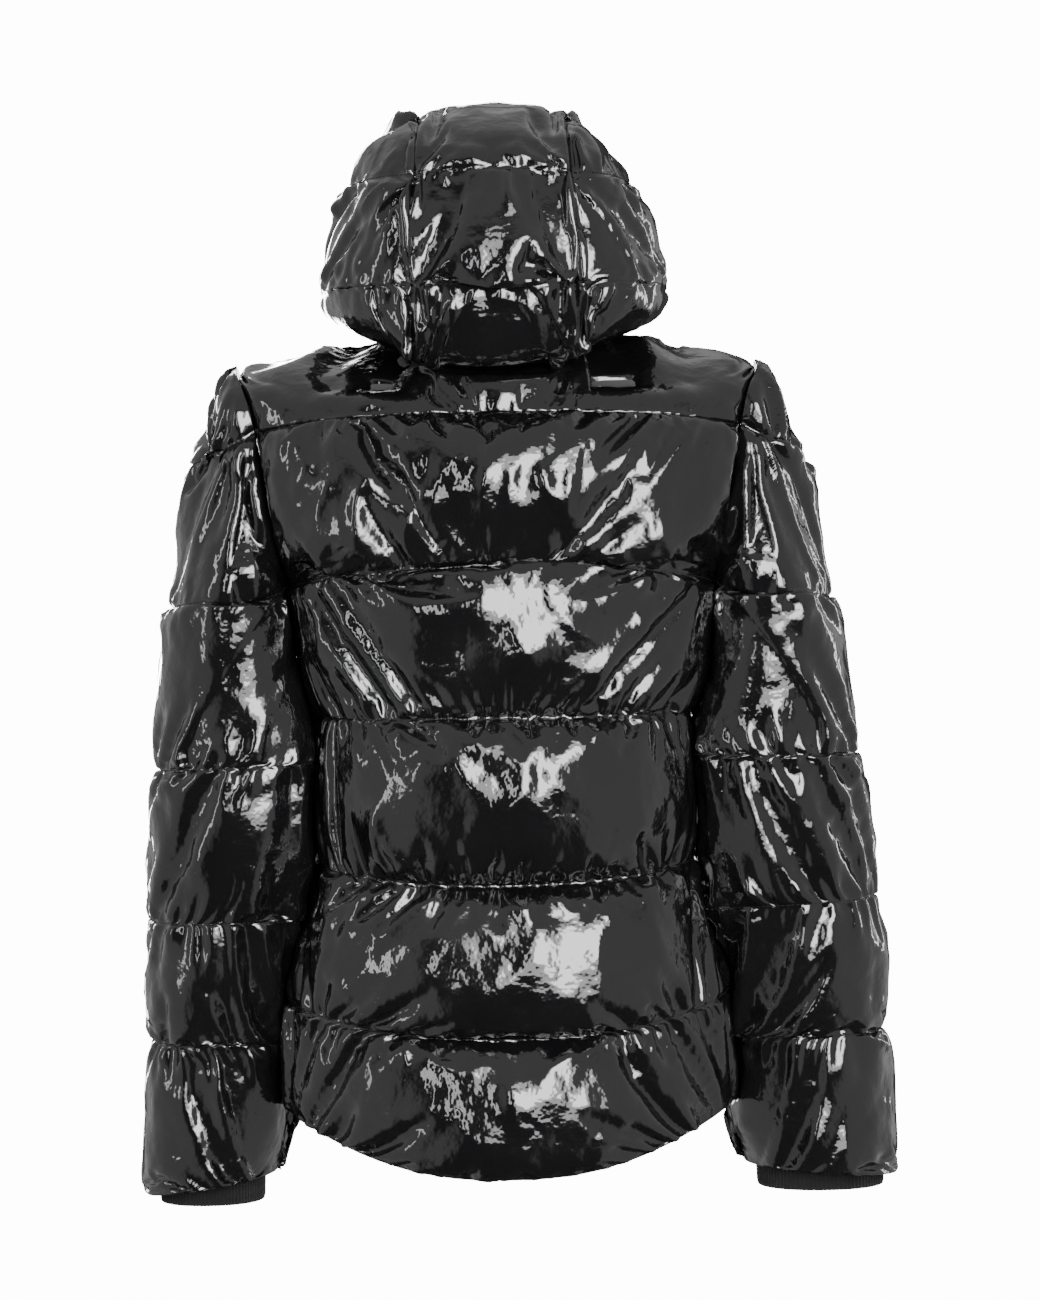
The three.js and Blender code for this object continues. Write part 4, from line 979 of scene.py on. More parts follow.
def lumps(panel, random):
    """The filling isn't even: broad, low swellings all over the panel."""
    share = channel_of(panel)[1]
    u, v = panel["flat"][..., 0], panel["flat"][..., 1]
    height = np.zeros(u.shape)
    for _ in range(LUMPS):
        length, direction = random.uniform(*LUMP_LENGTH), random.uniform(0, math.pi)
        wave = (u * math.cos(direction) + v * math.sin(direction)) * 2 * math.pi / length
        height += np.sin(wave + random.uniform(*ANY_PHASE)) * length / LUMP_LENGTH[1]
    return height * LUMP * (np.sin(math.pi * share) ** 0.8)[:, None]


print("lumps:", LUMPS, "in each panel")

# %% Keep each panel in its place
LEAST_HEIGHT, SPARE_HEIGHT, SPARE_SHARE = 3.0, 4.0, 1.12  # over the wall; over the padding, in mm and as a factor
SOFT_LIMIT = 0.8  # share of the limit from which the height bends towards it
ARMHOLE_CENTRE, PUCKER_RADIUS = (8, -150), 115  # depth and height of the point that the puckers turn round
PUCKER, PUCKERS, PUCKER_LENGTH = 1.1, 4, (13, 40)
STEADY_REACH = {"sleeve": 28, "body": 60}
SLEEVE_CLEAR = 0.8
THIN = 8  # mm of padding below which there is little to swell or crease
REACH_FOR_BODY = 24.0  # how far a sleeve's inner side may swell towards the body until they touch
SIDES = {  # the loops that a panel stays on one side of
    "back": ((ARMHOLE, -1, 0.2),),
    "back_yoke": ((NECKLINE, -1, 0.0), (ARMHOLE, -1, 0.2)),
    "front": ((ARMHOLE, -1, 0.2),),
    "front_yoke": ((NECKLINE, -1, 0.0), (ARMHOLE, -1, 0.2)),
    "sleeve": ((ARMHOLE, 1, SEAM_GAP),),
    "hood_side": ((NECKLINE, 1, 0.72),),
    "hood_centre": ((NECKLINE, 1, 0.72),),
}


def family(name):
    return name.replace("_left", "").replace("_right", "")


def steadied(name, points, random):
    """By the armhole the grid is too narrow to fold, so the form takes over there, with drawn puckers."""
    panel = panels[name]
    inner = folded(panel["inner"])
    from_armhole = distance_to(ARMHOLE, inner)
    depth, height = inner[..., 1] - ARMHOLE_CENTRE[0], inner[..., 2] - ARMHOLE_CENTRE[1]
    around = np.arctan2(height, depth) * PUCKER_RADIUS
    waves = 0
    for _ in range(PUCKERS):
        length, phase = random.uniform(*PUCKER_LENGTH), random.uniform(*ANY_PHASE)
        waves = waves + np.sin(2 * math.pi * around / length + phase)
    puckers = PUCKER * waves * np.exp(-from_armhole / 16) * (1 - np.exp(-from_armhole / 3))
    form = panel["inner"] + panel["out"] * (WALL + panel["padding"] + puckers)[..., None]
    reach = STEADY_REACH["sleeve" if family(name) == "sleeve" else "body"]
    return points + (form - points) * np.exp(-((from_armhole / reach) ** 2))[..., None]


def limited(panel, points):
    """Points no lower than the wall needs, and no higher than the filling allows."""
    height = ((points - panel["inner"]) * panel["out"]).sum(-1, keepdims=True)
    top = (WALL + panel["padding"] * SPARE_SHARE + SPARE_HEIGHT)[..., None]
    left = top * (1 - SOFT_LIMIT)
    over = np.maximum(height - top * SOFT_LIMIT, 0)
    soft = np.where(over > 0, top * SOFT_LIMIT + left * np.tanh(over / left), height)
    return points + panel["out"] * (np.maximum(soft, LEAST_HEIGHT) - height)


def settle(name, points, random):
    panel = panels[name]
    points = steadied(name, points, random)
    points = points + panel["out"] * (lumps(panel, random) * edge_rise(panel["padding"], THIN))[..., None]
    kept = limited(panel, points)
    for loop, side, clearance in SIDES[family(name)]:
        mirror = to_left(kept) if loop is ARMHOLE else 1
        kept = kept_to(side, loop, kept * mirror, clearance) * mirror
    return kept


random = np.random.default_rng(5)
for name in NAMES:
    panels[name]["face"] = settle(name, panels[name]["cloth"], random)
print("back reaches", round(panels["back"]["face"][..., 1].max()), "mm back")

# %% [markdown]
# The sleeves hang against the body, and both are soft, so they touch in a broad, flat face. We move the sleeve's
# inner side towards the body until it almost touches, and never into it.

# %% Rest the sleeves against the body
SMOOTHINGS = 6
FLANK_FROM = 60  # mm from the middle, where the flank begins
body_names = [name for name in NAMES if family(name) in ("back", "front")]
for side, across in (("left", 1), ("right", -1)):
    body = np.concatenate([panels[name]["face"].reshape(-1, 3) for name in body_names])
    flank = flank_of(body[body[:, 0] * across > FLANK_FROM])
    sleeve = panels["sleeve_" + side]
    face = sleeve["face"] * (across, 1, 1)
    reach = body_reach(flank, face, FLANK_CELL) + SLEEVE_CLEAR
    low = np.arange(len(face)) < len(RINGS)
    inner_x = np.abs(sleeve["inner"][..., 0])
    facing = np.clip(-sleeve["out"][..., 0] * across - 0.35, 0, 0.4) / 0.4
    gap = np.clip(face[..., 0] - reach, 0, REACH_FOR_BODY) * (reach > FLANK_FROM) * facing
    for _ in range(SMOOTHINGS):
        gap[1:-1] = (gap[:-2] + 2 * gap[1:-1] + gap[2:]) / 4
        gap[:, 1:-1] = (gap[:, :-2] + 2 * gap[:, 1:-1] + gap[:, 2:]) / 4
    gap *= edge_rise(np.arange(len(face), dtype=float), CHANNEL_ROWS / 2)[:, None]
    pressed = face[..., 0] - gap
    held = np.maximum(pressed, np.minimum(reach, inner_x - 2.0))
    face[low, :, 0] = held[low]
    sleeve["face"] = face * (across, 1, 1)
    print(f"sleeve_{side}: moved in by up to {gap[low].max():.0f} mm")

# %% [markdown]
# ## Walls
# The simulated cloth is refined once, channel by channel, so that the line of stitches stays a sharp crease. Each
# panel becomes a closed wall: cloth outside, a plain lining inside, and a narrow rim between them.

# %% Refine and close a panel
def halved(points):
    """Twice as many points along the first axis, on a smooth curve."""
    middle = (points[:-1] + points[1:]) / 2
    if len(points) > 3:
        middle[1:-1] = (9 * (points[1:-2] + points[2:-1]) - points[:-3] - points[3:]) / 16
        middle[0] = (3 * points[0] + 6 * points[1] - points[2]) / 8
        middle[-1] = (3 * points[-1] + 6 * points[-2] - points[-3]) / 8
    out = np.empty((2 * len(points) - 1,) + points.shape[1:])
    out[::2], out[1::2] = points, middle
    return out


def refined(grid, sewn):
    """A grid twice as fine, each channel by itself, so that its stitched rows stay creases."""
    grid = halved(grid.swapaxes(0, 1)).swapaxes(0, 1)
    return join_rows(*[halved(grid[a:b + 1]) for a, b in zip(sewn, sewn[1:])])


def border(shape, start):
    """Point numbers once around a grid."""
    i = np.arange(shape[0] * shape[1]).reshape(shape) + start
    return np.concatenate([i[0, :-1], i[:-1, -1], i[-1, :0:-1], i[:0:-1, 0]])


def wall_faces(outer_shape, inner_shape):
    """Faces of a closed wall whose outer grid is twice as fine as its inner one."""
    count = outer_shape[0] * outer_shape[1]
    outside, inside = grid_faces(outer_shape, 0), grid_faces(inner_shape, count)[:, ::-1]
    fine, plain = border(outer_shape, 0), border(inner_shape, count)
    a, b, c = fine[::2], fine[1::2], np.roll(fine[::2], -1)
    i, j = plain, np.roll(plain, -1)
    rim = np.concatenate([np.stack(t, -1) for t in ((b, a, i), (c, b, j), (b, i, j))])
    return outside, inside, rim


def new_piece(name, points, faces, material_of_face, smooth=True):
    mesh = bpy.data.meshes.new(name)
    mesh.from_pydata((points * MM).tolist(), [], faces)
    mesh.polygons.foreach_set("material_index", material_of_face)
    mesh.polygons.foreach_set("use_smooth", [smooth] * len(faces))
    piece = bpy.data.objects.new(name, mesh)
    bpy.context.scene.collection.objects.link(piece)
    return piece


print("a channel's", CHANNEL_ROWS, "rows become", len(halved(np.zeros((CHANNEL_ROWS + 1, 1)))) - 1)

# %% [markdown]
# Coated cloth keeps sharp little creases that are finer than the simulation's grid. We add them on the refined grid,
# as low ridges: folds that hang from the seams, small ones all over, and on the back the main ones, from a short
# table. Real geometry mirrors the studio in the right way, which a bump in the material would only pretend.

# %% Creases
# On the back: channel, mm from the middle, share of the channel, lean in degrees, length, width and height.
MAIN_CREASES = (
    (4, 104, 0.42, 86, 30, 6, 6), (4, 92, 0.10, 60, 14, 5, 4), (4, 66, 0.34, 72, 34, 6, 6),
    (4, 44, 0.30, 104, 26, 6, 6), (4, 54, 0.55, 80, 22, 9, -4), (4, 12, 0.46, 78, 34, 8, 4),
    (4, -12, 0.50, 70, 30, 9, 3.5), (4, -34, 0.46, 108, 26, 6, 6), (4, -54, 0.44, 70, 26, 6, 6),
    (4, -44, 0.25, 90, 16, 9, -5), (4, -92, 0.56, 68, 34, 11, 6), (4, 146, 0.6, 60, 22, 8, 4),
    (4, 128, 0.5, 62, 26, 7, 5), (4, -118, 0.3, 110, 24, 9, 4),
    (3, 114, 0.45, 92, 36, 7, 6), (3, 72, 0.66, 150, 24, 8, 5), (3, 58, 0.36, 130, 26, 8, 5),
    (3, 30, 0.5, 100, 30, 12, -4), (3, -20, 0.42, 28, 26, 8, 4), (3, -52, 0.55, 142, 26, 8, 5),
    (3, -76, 0.40, 60, 24, 7, 5), (3, -100, 0.6, 120, 26, 9, 4), (3, -70, 0.93, 165, 26, 5, 5),
    (3, -110, 0.85, 130, 20, 5, 4),
    (2, 88, 0.42, 80, 22, 6, 6), (2, 80, 0.20, 108, 20, 6, 5), (2, 30, 0.62, 120, 26, 9, 4),
    (2, -6, 0.5, 55, 30, 10, 4), (2, -40, 0.6, 140, 26, 9, 4), (2, -90, 0.5, 95, 34, 10, 4),
    (2, 130, 0.6, 70, 24, 8, 4),
    (1, 60, 0.84, 20, 34, 7, 4), (1, 0, 0.80, 172, 40, 7, 4), (1, -52, 0.84, 160, 26, 7, 4),
    (1, 120, 0.5, 40, 30, 9, 4), (1, -100, 0.62, 100, 30, 9, 4),
    (0, 50, 0.80, 140, 26, 7, 5), (0, 0, 0.6, 100, 30, 10, 4), (0, -40, 0.8, 30, 26, 7, 5),
    (0, 110, 0.4, 60, 24, 8, 4),
)
CRUSHED = {"hood_side": 1.7, "hood_centre": 1.3, "sleeve": 1.2}  # how much higher than on the body
SEAM_FOLD_STEP, SMALL_CREASES = 11.0, 1500  # mm along a seam, and a number for a square metre
CURVE, ROUNDING = 0.008, 6  # how much a crease bends, and how round its ridge is


def random_creases(panel, random):
    """Folds that hang from each seam, and small creases all over: place, lean, length, width and height."""
    flat, made = panel["flat"], []
    for row in panel["rows"][1:]:
        for side in (-1, 1):
            for c in np.arange(2, flat.shape[1] - 2, SEAM_FOLD_STEP / COLUMN_WIDTH) + random.uniform(-1, 1):
                at = row + side * random.uniform(1.5, 5)
                if 0 < at < len(flat) - 1:
                    lean = math.radians(90 + random.normal(0, 22))
                    size = random.uniform(7, 20), random.uniform(4, 6), random.normal(1.2, 2.2)
                    made.append((*flat[int(at), int(c), :2], lean, *size))
    area = np.ptp(flat[..., 0]) * np.ptp(flat[..., 1]) / 1e6
    for _ in range(int(area * SMALL_CREASES)):
        place = flat[random.integers(0, len(flat)), random.integers(0, flat.shape[1]), :2]
        lean = random.normal(math.pi / 2, 0.8)
        made.append((*place, lean, random.uniform(8, 34), random.uniform(4.5, 9), random.normal(0.1, 1.3)))
    return made


def main_creases(panel):
    made = []
    for channel, across, share, lean, length, width, size in MAIN_CREASES:
        first, last = panel["rows"][channel:channel + 2]
        row = round(first + share * (last - first))
        c = int(np.abs(panel["inner"][row, :, 0] - across).argmin())
        made.append((*panel["flat"][row, c, :2], math.radians(lean), length, width, size))
    return made


def crease_height(flat, made):
    """The height of all creases together at each point of the flat panel."""
    u, v = flat[..., 0], flat[..., 1]
    height = np.zeros(u.shape)
    for x, y, lean, length, width, size in made:
        along = (u - x) * math.cos(lean) + (v - y) * math.sin(lean)
        aside = (v - y) * math.cos(lean) - (u - x) * math.sin(lean) + CURVE * along**2 * np.sign(size)
        near = np.abs(along) < 2.2 * length
        ridge = size * np.exp(-np.sqrt(aside[near] ** 2 + ROUNDING) / width)
        height[near] += ridge * np.exp(-((along[near] / length) ** 2))
    return height


def close_wall(name, random):
    """The finished panel: its creased outer cloth, its plain lining, and the rim between them."""
    panel = panels[name]
    rows, flat = panel["rows"], refined(panel["flat"], panel["rows"])
    creased = crease_height(flat, random_creases(panel, random)) * CRUSHED.get(family(name), 1.0)
    if name == "back":
        creased += crease_height(flat, main_creases(panel))
    free = edge_rise(refined(panel["padding"][..., None], rows)[..., 0], THIN)
    fine = refined(panel["face"], rows) + refined(panel["out"], rows) * (creased * free)[..., None]
    outside, inside, rim = wall_faces(fine.shape[:2], panel["inner"].shape[:2])
    points = np.concatenate([fine.reshape(-1, 3), panel["inner"].reshape(-1, 3)])
    faces = outside.tolist() + inside.tolist() + rim.tolist()
    material_of_face = [0] * len(outside) + [1] * len(inside) + [0] * len(rim)
    panel["fine"] = fine
    panel["fine_rows"] = [2 * row for row in rows]
    return new_piece("quilted_" + name, points, faces, material_of_face)


random = np.random.default_rng(8)
walls = {name: close_wall(name, random) for name in NAMES}
print("triangles:", sum(len(p.vertices) - 2 for wall in walls.values() for p in wall.data.polygons))

# %% [markdown]
# ## Stitches
# Along each quilting row runs a line of thread, sunk into the crease. Every stitch is a small spindle, and all
# stitches of the jacket are one mesh.

# %% Thread along the quilting rows
STITCH, STITCH_GAP, THREAD = 3.2, 0.9, 0.35  # length, distance, and the thread's radius
SPINDLE = ((-1, 0), (-0.6, 0.8), (0, 1), (0.6, 0.8), (1, 0))  # shares of half a stitch, and of the radius
THREAD_END = 0.15  # a spindle's pointed end isn't quite a point
THREAD_SIDES = 5


def stitches_along(path, out):
    """All stitches of one row, five rings of points each."""
    along = np.concatenate([[0], np.cumsum(np.linalg.norm(np.diff(path, axis=0), axis=1))])
    centres = np.arange(STITCH, along[-1] - STITCH, STITCH + STITCH_GAP)

    def at(values, place):
        return np.stack([np.interp(place, along, values[:, k]) for k in range(3)], -1)
    middle = at(path, centres)
    forward = unit(at(path, centres + 1) - at(path, centres - 1))
    up = unit(at(out, centres))
    side = unit(np.cross(forward, up))
    turn = np.arange(THREAD_SIDES) * 2 * math.pi / THREAD_SIDES
    ring = side[:, None] * np.cos(turn)[None, :, None] + up[:, None] * np.sin(turn)[None, :, None]
    rings = [
        (middle + forward * STITCH / 2 * place + up * THREAD * 0.9)[:, None] + ring * THREAD * max(width, THREAD_END)
        for place, width in SPINDLE
    ]
    return np.stack(rings, 1)


def stitch_faces(count):
    i = np.arange(count * len(SPINDLE) * THREAD_SIDES).reshape(count, len(SPINDLE), THREAD_SIDES)
    j = np.roll(i, -1, 2)
    sides = np.stack([i[:, :-1], j[:, :-1], j[:, 1:], i[:, 1:]], -1).reshape(-1, 4)
    return sides.tolist() + i[:, 0, ::-1].tolist() + i[:, -1].tolist()


lines = []
for name in NAMES:
    panel = panels[name]
    out = refined(panel["out"], panel["rows"])
    for row in panel["fine_rows"][1:-1]:
        lines.append(stitches_along(panel["fine"][row], out[row]))
spindles = np.concatenate(lines)
faces = stitch_faces(len(spindles))
thread = new_piece("quilting_thread", spindles.reshape(-1, 3), faces, [0] * len(faces))
print(len(spindles), "stitches")

# %% [markdown]
# ## Knitted cuffs
# Inside each sleeve end sits a band of rib knit. It follows the sleeve's inner face, a little narrower towards the
# hand, and its ribs are real relief.

# %% Rib-knit cuffs
CUFF_BAND = ((36, 1.2), (20, 3.5), (4, 5.0), (-16, 6.0))  # height over the sleeve's end, how much narrower
CUFF_WALL, RIBS, POINTS_PER_RIB, CUFF_ROWS = 2.5, 96, 6, 27
RIB_DEPTH, KNIT_DEPTH, EDGE_DEPTH = 0.9, 0.12, 0.7


def cuff_rings(side):
    """Rings that follow the inside of the sleeve's end, a little inward."""
    sleeve = panels["sleeve_" + side]
    low, high = sleeve["inner"][0], sleeve["inner"][CHANNEL_ROWS // 2]
    middle = low.mean(0)
    rings = []
    for up, narrower in CUFF_BAND:
        z = middle[2] + up
        share = np.clip((z - low[:, 2]) / (high[:, 2] - low[:, 2]), 0, None)[:, None]
        on = low + (high - low) * share
        inward = unit((middle - on) * (1, 1, 0))
        rings.append(on + inward * narrower)
        rings[-1][:, 2] = z
    return np.array(rings)


def ribbed_cuff(side):
    """The cuff as a closed band, and its width and length as knitted."""
    rings = cuff_rings(side)
    shares = np.linspace(0, 1, rings.shape[1])

    def hem(t):
        return np.stack([np.interp(t, shares, rings[-1][:, k]) for k in range(3)], -1)
    around = evenly(hem, RIBS * POINTS_PER_RIB)[0][:-1]
    place = around * (rings.shape[1] - 1)
    i = np.minimum(place.astype(int), rings.shape[1] - 2)
    f = (place - i)[None, :, None]
    across = rings[:, i] * (1 - f) + rings[:, i + 1] * f
    down = np.linspace(0, len(CUFF_BAND) - 1, CUFF_ROWS)
    grid = column(across.reshape(len(across), -1), down).reshape(CUFF_ROWS, -1, 3)
    sideways = np.roll(grid, -1, 1) - np.roll(grid, 1, 1)
    out = unit(np.cross(sideways, (0, 0, 1.0)))
    out *= np.sign((out * (grid - grid.mean(1, keepdims=True))).sum(-1).mean())
    rib = 0.5 + 0.5 * np.cos(np.arange(grid.shape[1]) * 2 * math.pi / POINTS_PER_RIB)
    knit = KNIT_DEPTH * np.cos(down[:, None] * 18 + 1.3 * rib[None])
    edge = np.clip(np.minimum(down, down[-1] - down) / 0.12, 0, 1)[:, None] ** 0.5
    outer = grid - out * (RIB_DEPTH * (1 - rib) - knit * rib + EDGE_DEPTH * (1 - edge))[..., None]
    inner = grid - out * (CUFF_WALL - EDGE_DEPTH * (1 - edge))[..., None]
    loops = np.concatenate([outer, inner[::-1]])
    rows, count = loops.shape[:2]
    ids = np.arange(rows * count).reshape(rows, count)
    a, b = ids, np.roll(ids, -1, 0)
    faces = np.stack([a, np.roll(a, -1, 1), np.roll(b, -1, 1), b], -1).reshape(-1, 4)
    turned_out = np.cross(np.roll(outer, -1, 1) - outer, np.roll(outer, -1, 0) - outer)
    if (turned_out[:-1] * out[:-1]).sum() < 0:
        faces = faces[:, ::-1]
    piece = new_piece("rib_cuff_" + side, loops.reshape(-1, 3), faces.tolist(), [0] * len(faces))
    width = np.linalg.norm(np.diff(np.concatenate([grid[0], grid[0][:1]]), axis=0), axis=1).sum()
    length = np.linalg.norm(np.diff(grid[:, 0], axis=0), axis=1).sum()
    return piece, (width * MM, length * MM)


cuffs = {side: ribbed_cuff(side) for side in ("left", "right")}
print("cuff as knitted, m:", [round(x, 3) for x in cuffs["left"][1]])

# %% [markdown]
# ## Zip
# The front closes with a moulded zip: two tapes with a row of teeth on each, meshed in the middle. It is closed, so
# both tapes are one strip here, and its teeth follow the same line down the front as the solid zip.

# %% Zip tape
TOOTH_PITCH, TOOTH = 3.0, (4.2, 1.5, 1.1)  # length across, width along, half height
TOOTH_OFFSET = 1.2  # from the middle, to one side and to the other in turn
TAPE_LOW, TAPE_HIGH, TAPE_MIDDLE = 1.0, 2.2, 1.5
ZIP_TOP, ZIP_BOTTOM = -10.0, -655.0


def zip_line():
    """Points down the front every half tooth, with the directions along the zip and across the cloth."""
    low = [body_point(level, -math.pi / 2) for level in np.linspace(0, NECK, 97)]
    high = [hood_side_point(at, 0.0) for at in np.linspace(0, 1, 25)[1:]]
    path = np.array(low + high) * (0, 1, 1)
    path = path[(path[:, 2] >= ZIP_BOTTOM - 0.1) & (path[:, 2] <= ZIP_TOP + 2)]
    along = np.concatenate([[0], np.cumsum(np.linalg.norm(np.diff(path, axis=0), axis=1))])
    places = np.arange(0, along[-1], TOOTH_PITCH / 2)
    line = np.stack([np.interp(places, along, path[:, k]) for k in range(3)], -1)
    forward = unit(np.gradient(line, axis=0))
    return line, forward, np.stack([0 * forward[:, 0], -forward[:, 2], forward[:, 1]], -1)


line, forward, facing = zip_line()
facing *= np.sign(-facing[:, 1:2].mean())
side = np.array((1.0, 0, 0))
section = np.array([
    (-ZIP_HALF, TAPE_LOW), (-ZIP_HALF, TAPE_HIGH), (-TAPE_MIDDLE, TAPE_HIGH),
    (TAPE_MIDDLE, TAPE_HIGH), (ZIP_HALF, TAPE_HIGH), (ZIP_HALF, TAPE_LOW),
])
tape_points = line[:, None] + side * section[None, :, :1] + facing[:, None] * section[None, :, 1:]
ids = np.arange(len(line) * len(section)).reshape(-1, len(section))
a, b = ids[:-1], ids[1:]
tape_faces = np.stack([a, b, np.roll(b, -1, 1), np.roll(a, -1, 1)], -1).reshape(-1, 4).tolist()
tape_faces += [ids[0].tolist(), ids[-1, ::-1].tolist()]
print("tape:", len(line), "places down the front")

# %% Zip teeth
TOOTH_SHAPE = np.array([  # across, along, out; a block with a rounded head
    (x * TOOTH[0] / 2, y * TOOTH[1] / 2 * (1.0 if x < 0 else 0.7), z * TOOTH[2] * (1.0 if x < 0.5 else 0.75))
    for x in (-1, 0.2, 1) for y, z in ((-1, -1), (1, -1), (1, 1), (-1, 1))
])
TOOTH_FACES = [[3, 2, 1, 0], [8, 9, 10, 11]] + [
    [4 * k + i, 4 * k + (i + 1) % 4, 4 * k + 4 + (i + 1) % 4, 4 * k + 4 + i] for k in (0, 1) for i in range(4)
]
teeth, zip_faces = [], list(tape_faces)
for k in range(1, len(line) - 1):
    across = 1 if k % 2 else -1
    centre = line[k] + facing[k] * (TAPE_HIGH + TOOTH[2] * 0.55) - side * across * TOOTH_OFFSET
    start = ids.size + len(teeth) * len(TOOTH_SHAPE)
    zip_faces += [[start + i for i in (face if across > 0 else face[::-1])] for face in TOOTH_FACES]
    width, length, height = TOOTH_SHAPE[:, :1], TOOTH_SHAPE[:, 1:2], TOOTH_SHAPE[:, 2:]
    teeth.append(centre + side * width * across + forward[k] * length + facing[k] * height)
zip_points = np.concatenate([tape_points.reshape(-1, 3), *teeth])
material_of_face = [0] * len(tape_faces) + [1] * (len(zip_faces) - len(tape_faces))
zip_piece = new_piece("zip_tape_and_teeth", zip_points, zip_faces, material_of_face, smooth=False)
print(len(teeth), "teeth")

# %% [markdown]
# ## Materials
# The shell is a coated cloth with a wet look: almost black, and so smooth that it mirrors the studio. Its only colour
# is what it reflects, a mirror of about four per cent head on and more at grazing angles. Very small dents keep the
# reflections from being too perfect.

# %% Node helpers
def new_material(name, colour, roughness, **sockets):
    """A material, its node tree and its shader; further values go to the shader's own sockets."""
    material = bpy.data.materials.new(name)
    material.use_nodes = True
    shader = material.node_tree.nodes["Principled BSDF"]
    shader.inputs["Base Color"].default_value = (*colour, 1)
    shader.inputs["Roughness"].default_value = roughness
    for socket, value in sockets.items():
        shader.inputs[socket.replace("_", " ")].default_value = value
    return material, material.node_tree, shader


def add_noise(tree, scale, detail=3.0, roughness=0.5, stretch=(1, 1, 1)):
    """Noise that is fixed to the piece; scale is in lumps per metre."""
    place = tree.nodes.new("ShaderNodeTexCoord")
    mapping = tree.nodes.new("ShaderNodeMapping")
    mapping.inputs["Scale"].default_value = stretch
    noise = tree.nodes.new("ShaderNodeTexNoise")
    noise.inputs["Scale"].default_value = scale
    noise.inputs["Detail"].default_value = detail
    noise.inputs["Roughness"].default_value = roughness
    tree.links.new(place.outputs["Object"], mapping.inputs["Vector"])
    tree.links.new(mapping.outputs["Vector"], noise.inputs["Vector"])
    return noise.outputs["Fac"]


def add_bump(tree, shader, height, distance, before=None):
    """Small relief by shading alone; a second layer goes over the one before."""
    bump = tree.nodes.new("ShaderNodeBump")
    bump.inputs["Distance"].default_value = distance
    tree.links.new(height, bump.inputs["Height"])
    if before is not None:
        tree.links.new(before, bump.inputs["Normal"])
    tree.links.new(bump.outputs["Normal"], shader.inputs["Normal"])
    return bump.outputs["Normal"]


def spread(tree, value, low, high, from_low=0.3, from_high=0.7):
    """A value moved from one span of numbers to another."""
    span = tree.nodes.new("ShaderNodeMapRange")
    for socket, number in (("From Min", from_low), ("From Max", from_high), ("To Min", low), ("To Max", high)):
        span.inputs[socket].default_value = number
    tree.links.new(value, span.inputs["Value"])
    return span.outputs["Result"]


def blend_colours(tree, value, first, second):
    mix = tree.nodes.new("ShaderNodeMix")
    mix.data_type = "RGBA"
    mix.inputs["A"].default_value, mix.inputs["B"].default_value = (*first, 1), (*second, 1)
    tree.links.new(value, mix.inputs["Factor"])
    return mix.outputs["Result"]


print("helpers ready")

# %% Wet-look shell
shell, tree, shader = new_material("wet_look_shell", (0.004, 0.004, 0.0045), 0.09, IOR=1.5)
cloud = add_noise(tree, 14, 2.0)
blacks = blend_colours(tree, cloud, (0.0014, 0.0014, 0.0016), (0.003, 0.003, 0.0033))
tree.links.new(spread(tree, cloud, 0.06, 0.13), shader.inputs["Roughness"])
tree.links.new(blacks, shader.inputs["Base Color"])
dents = add_bump(tree, shader, add_noise(tree, 40, 3.0, 0.5), 0.0022)
add_bump(tree, shader, add_noise(tree, 420, 1.0), 0.00002, before=dents)
print("shell: IOR", shader.inputs["IOR"].default_value)

# %% [markdown]
# Everything else is duller than the shell: the matt lining inside, the rib knit that swallows light, the woven zip
# tape, its plastic teeth and the nickel of the slider.

# %% Lining, knit, zip and metal
lining, tree, shader = new_material("lining", (0.01, 0.01, 0.011), 0.75, Specular_IOR_Level=0.2, Sheen_Weight=0.3)
add_bump(tree, shader, add_noise(tree, 900, 1.0), 0.0001)

knit, tree, shader = new_material(
    "rib_knit", (0.004, 0.004, 0.004), 0.85, Specular_IOR_Level=0.12, Sheen_Weight=0.05, Sheen_Roughness=0.5
)
yarn = add_noise(tree, 900, 3.0, 0.6, (1, 1, 0.5))
yarns = blend_colours(tree, yarn, (0.0015, 0.0015, 0.0015), (0.006, 0.006, 0.006))
tree.links.new(yarns, shader.inputs["Base Color"])
add_bump(tree, shader, yarn, 0.0006)

tape, tree, shader = new_material("zip_tape", (0.006, 0.006, 0.006), 0.75, Sheen_Weight=0.3)
add_bump(tree, shader, add_noise(tree, 1400, 1.0, 0.5, (1, 1, 0.4)), 0.0002)

teeth_plastic, tree, shader = new_material("zip_teeth", (0.008, 0.008, 0.008), 0.32)
tree.links.new(spread(tree, add_noise(tree, 500, 2.0), 0.26, 0.4), shader.inputs["Roughness"])

metal, tree, shader = new_material("black_nickel", (0.05, 0.05, 0.053), 0.25, Metallic=1.0)
brushed = add_noise(tree, 700, 2.0, 0.5, (1, 1, 0.1))
tree.links.new(spread(tree, brushed, 0.2, 0.34), shader.inputs["Roughness"])
add_bump(tree, shader, brushed, 0.00005)

stitch_thread, tree, shader = new_material("thread", (0.003, 0.003, 0.003), 0.7, Specular_IOR_Level=0.25)
add_bump(tree, shader, add_noise(tree, 2500, 1.0), 0.0001)
print(len(bpy.data.materials), "materials")

# %% [markdown]
# A panel's outer cloth and its rim take the shell, and its inner face takes the lining. The slider and the pull tab
# are the model's own solids, which only get their metal.

# %% Dress the pieces
def dress(piece, *materials):
    """Puts materials in the piece's slots. Clearing the slots first would make every face use the first one."""
    slots = piece.data.materials
    for number, material in enumerate(materials):
        if number < len(slots):
            slots[number] = material
        else:
            slots.append(material)


for wall in walls.values():
    dress(wall, shell, lining)
dress(thread, stitch_thread)
for piece, _ in cuffs.values():
    dress(piece, knit)
dress(zip_piece, tape, teeth_plastic)
for name in ("zip_slider", "pull_tab"):
    dress(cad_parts[name], metal)
print("dressed:", len(walls) + len(cuffs) + 4, "pieces")

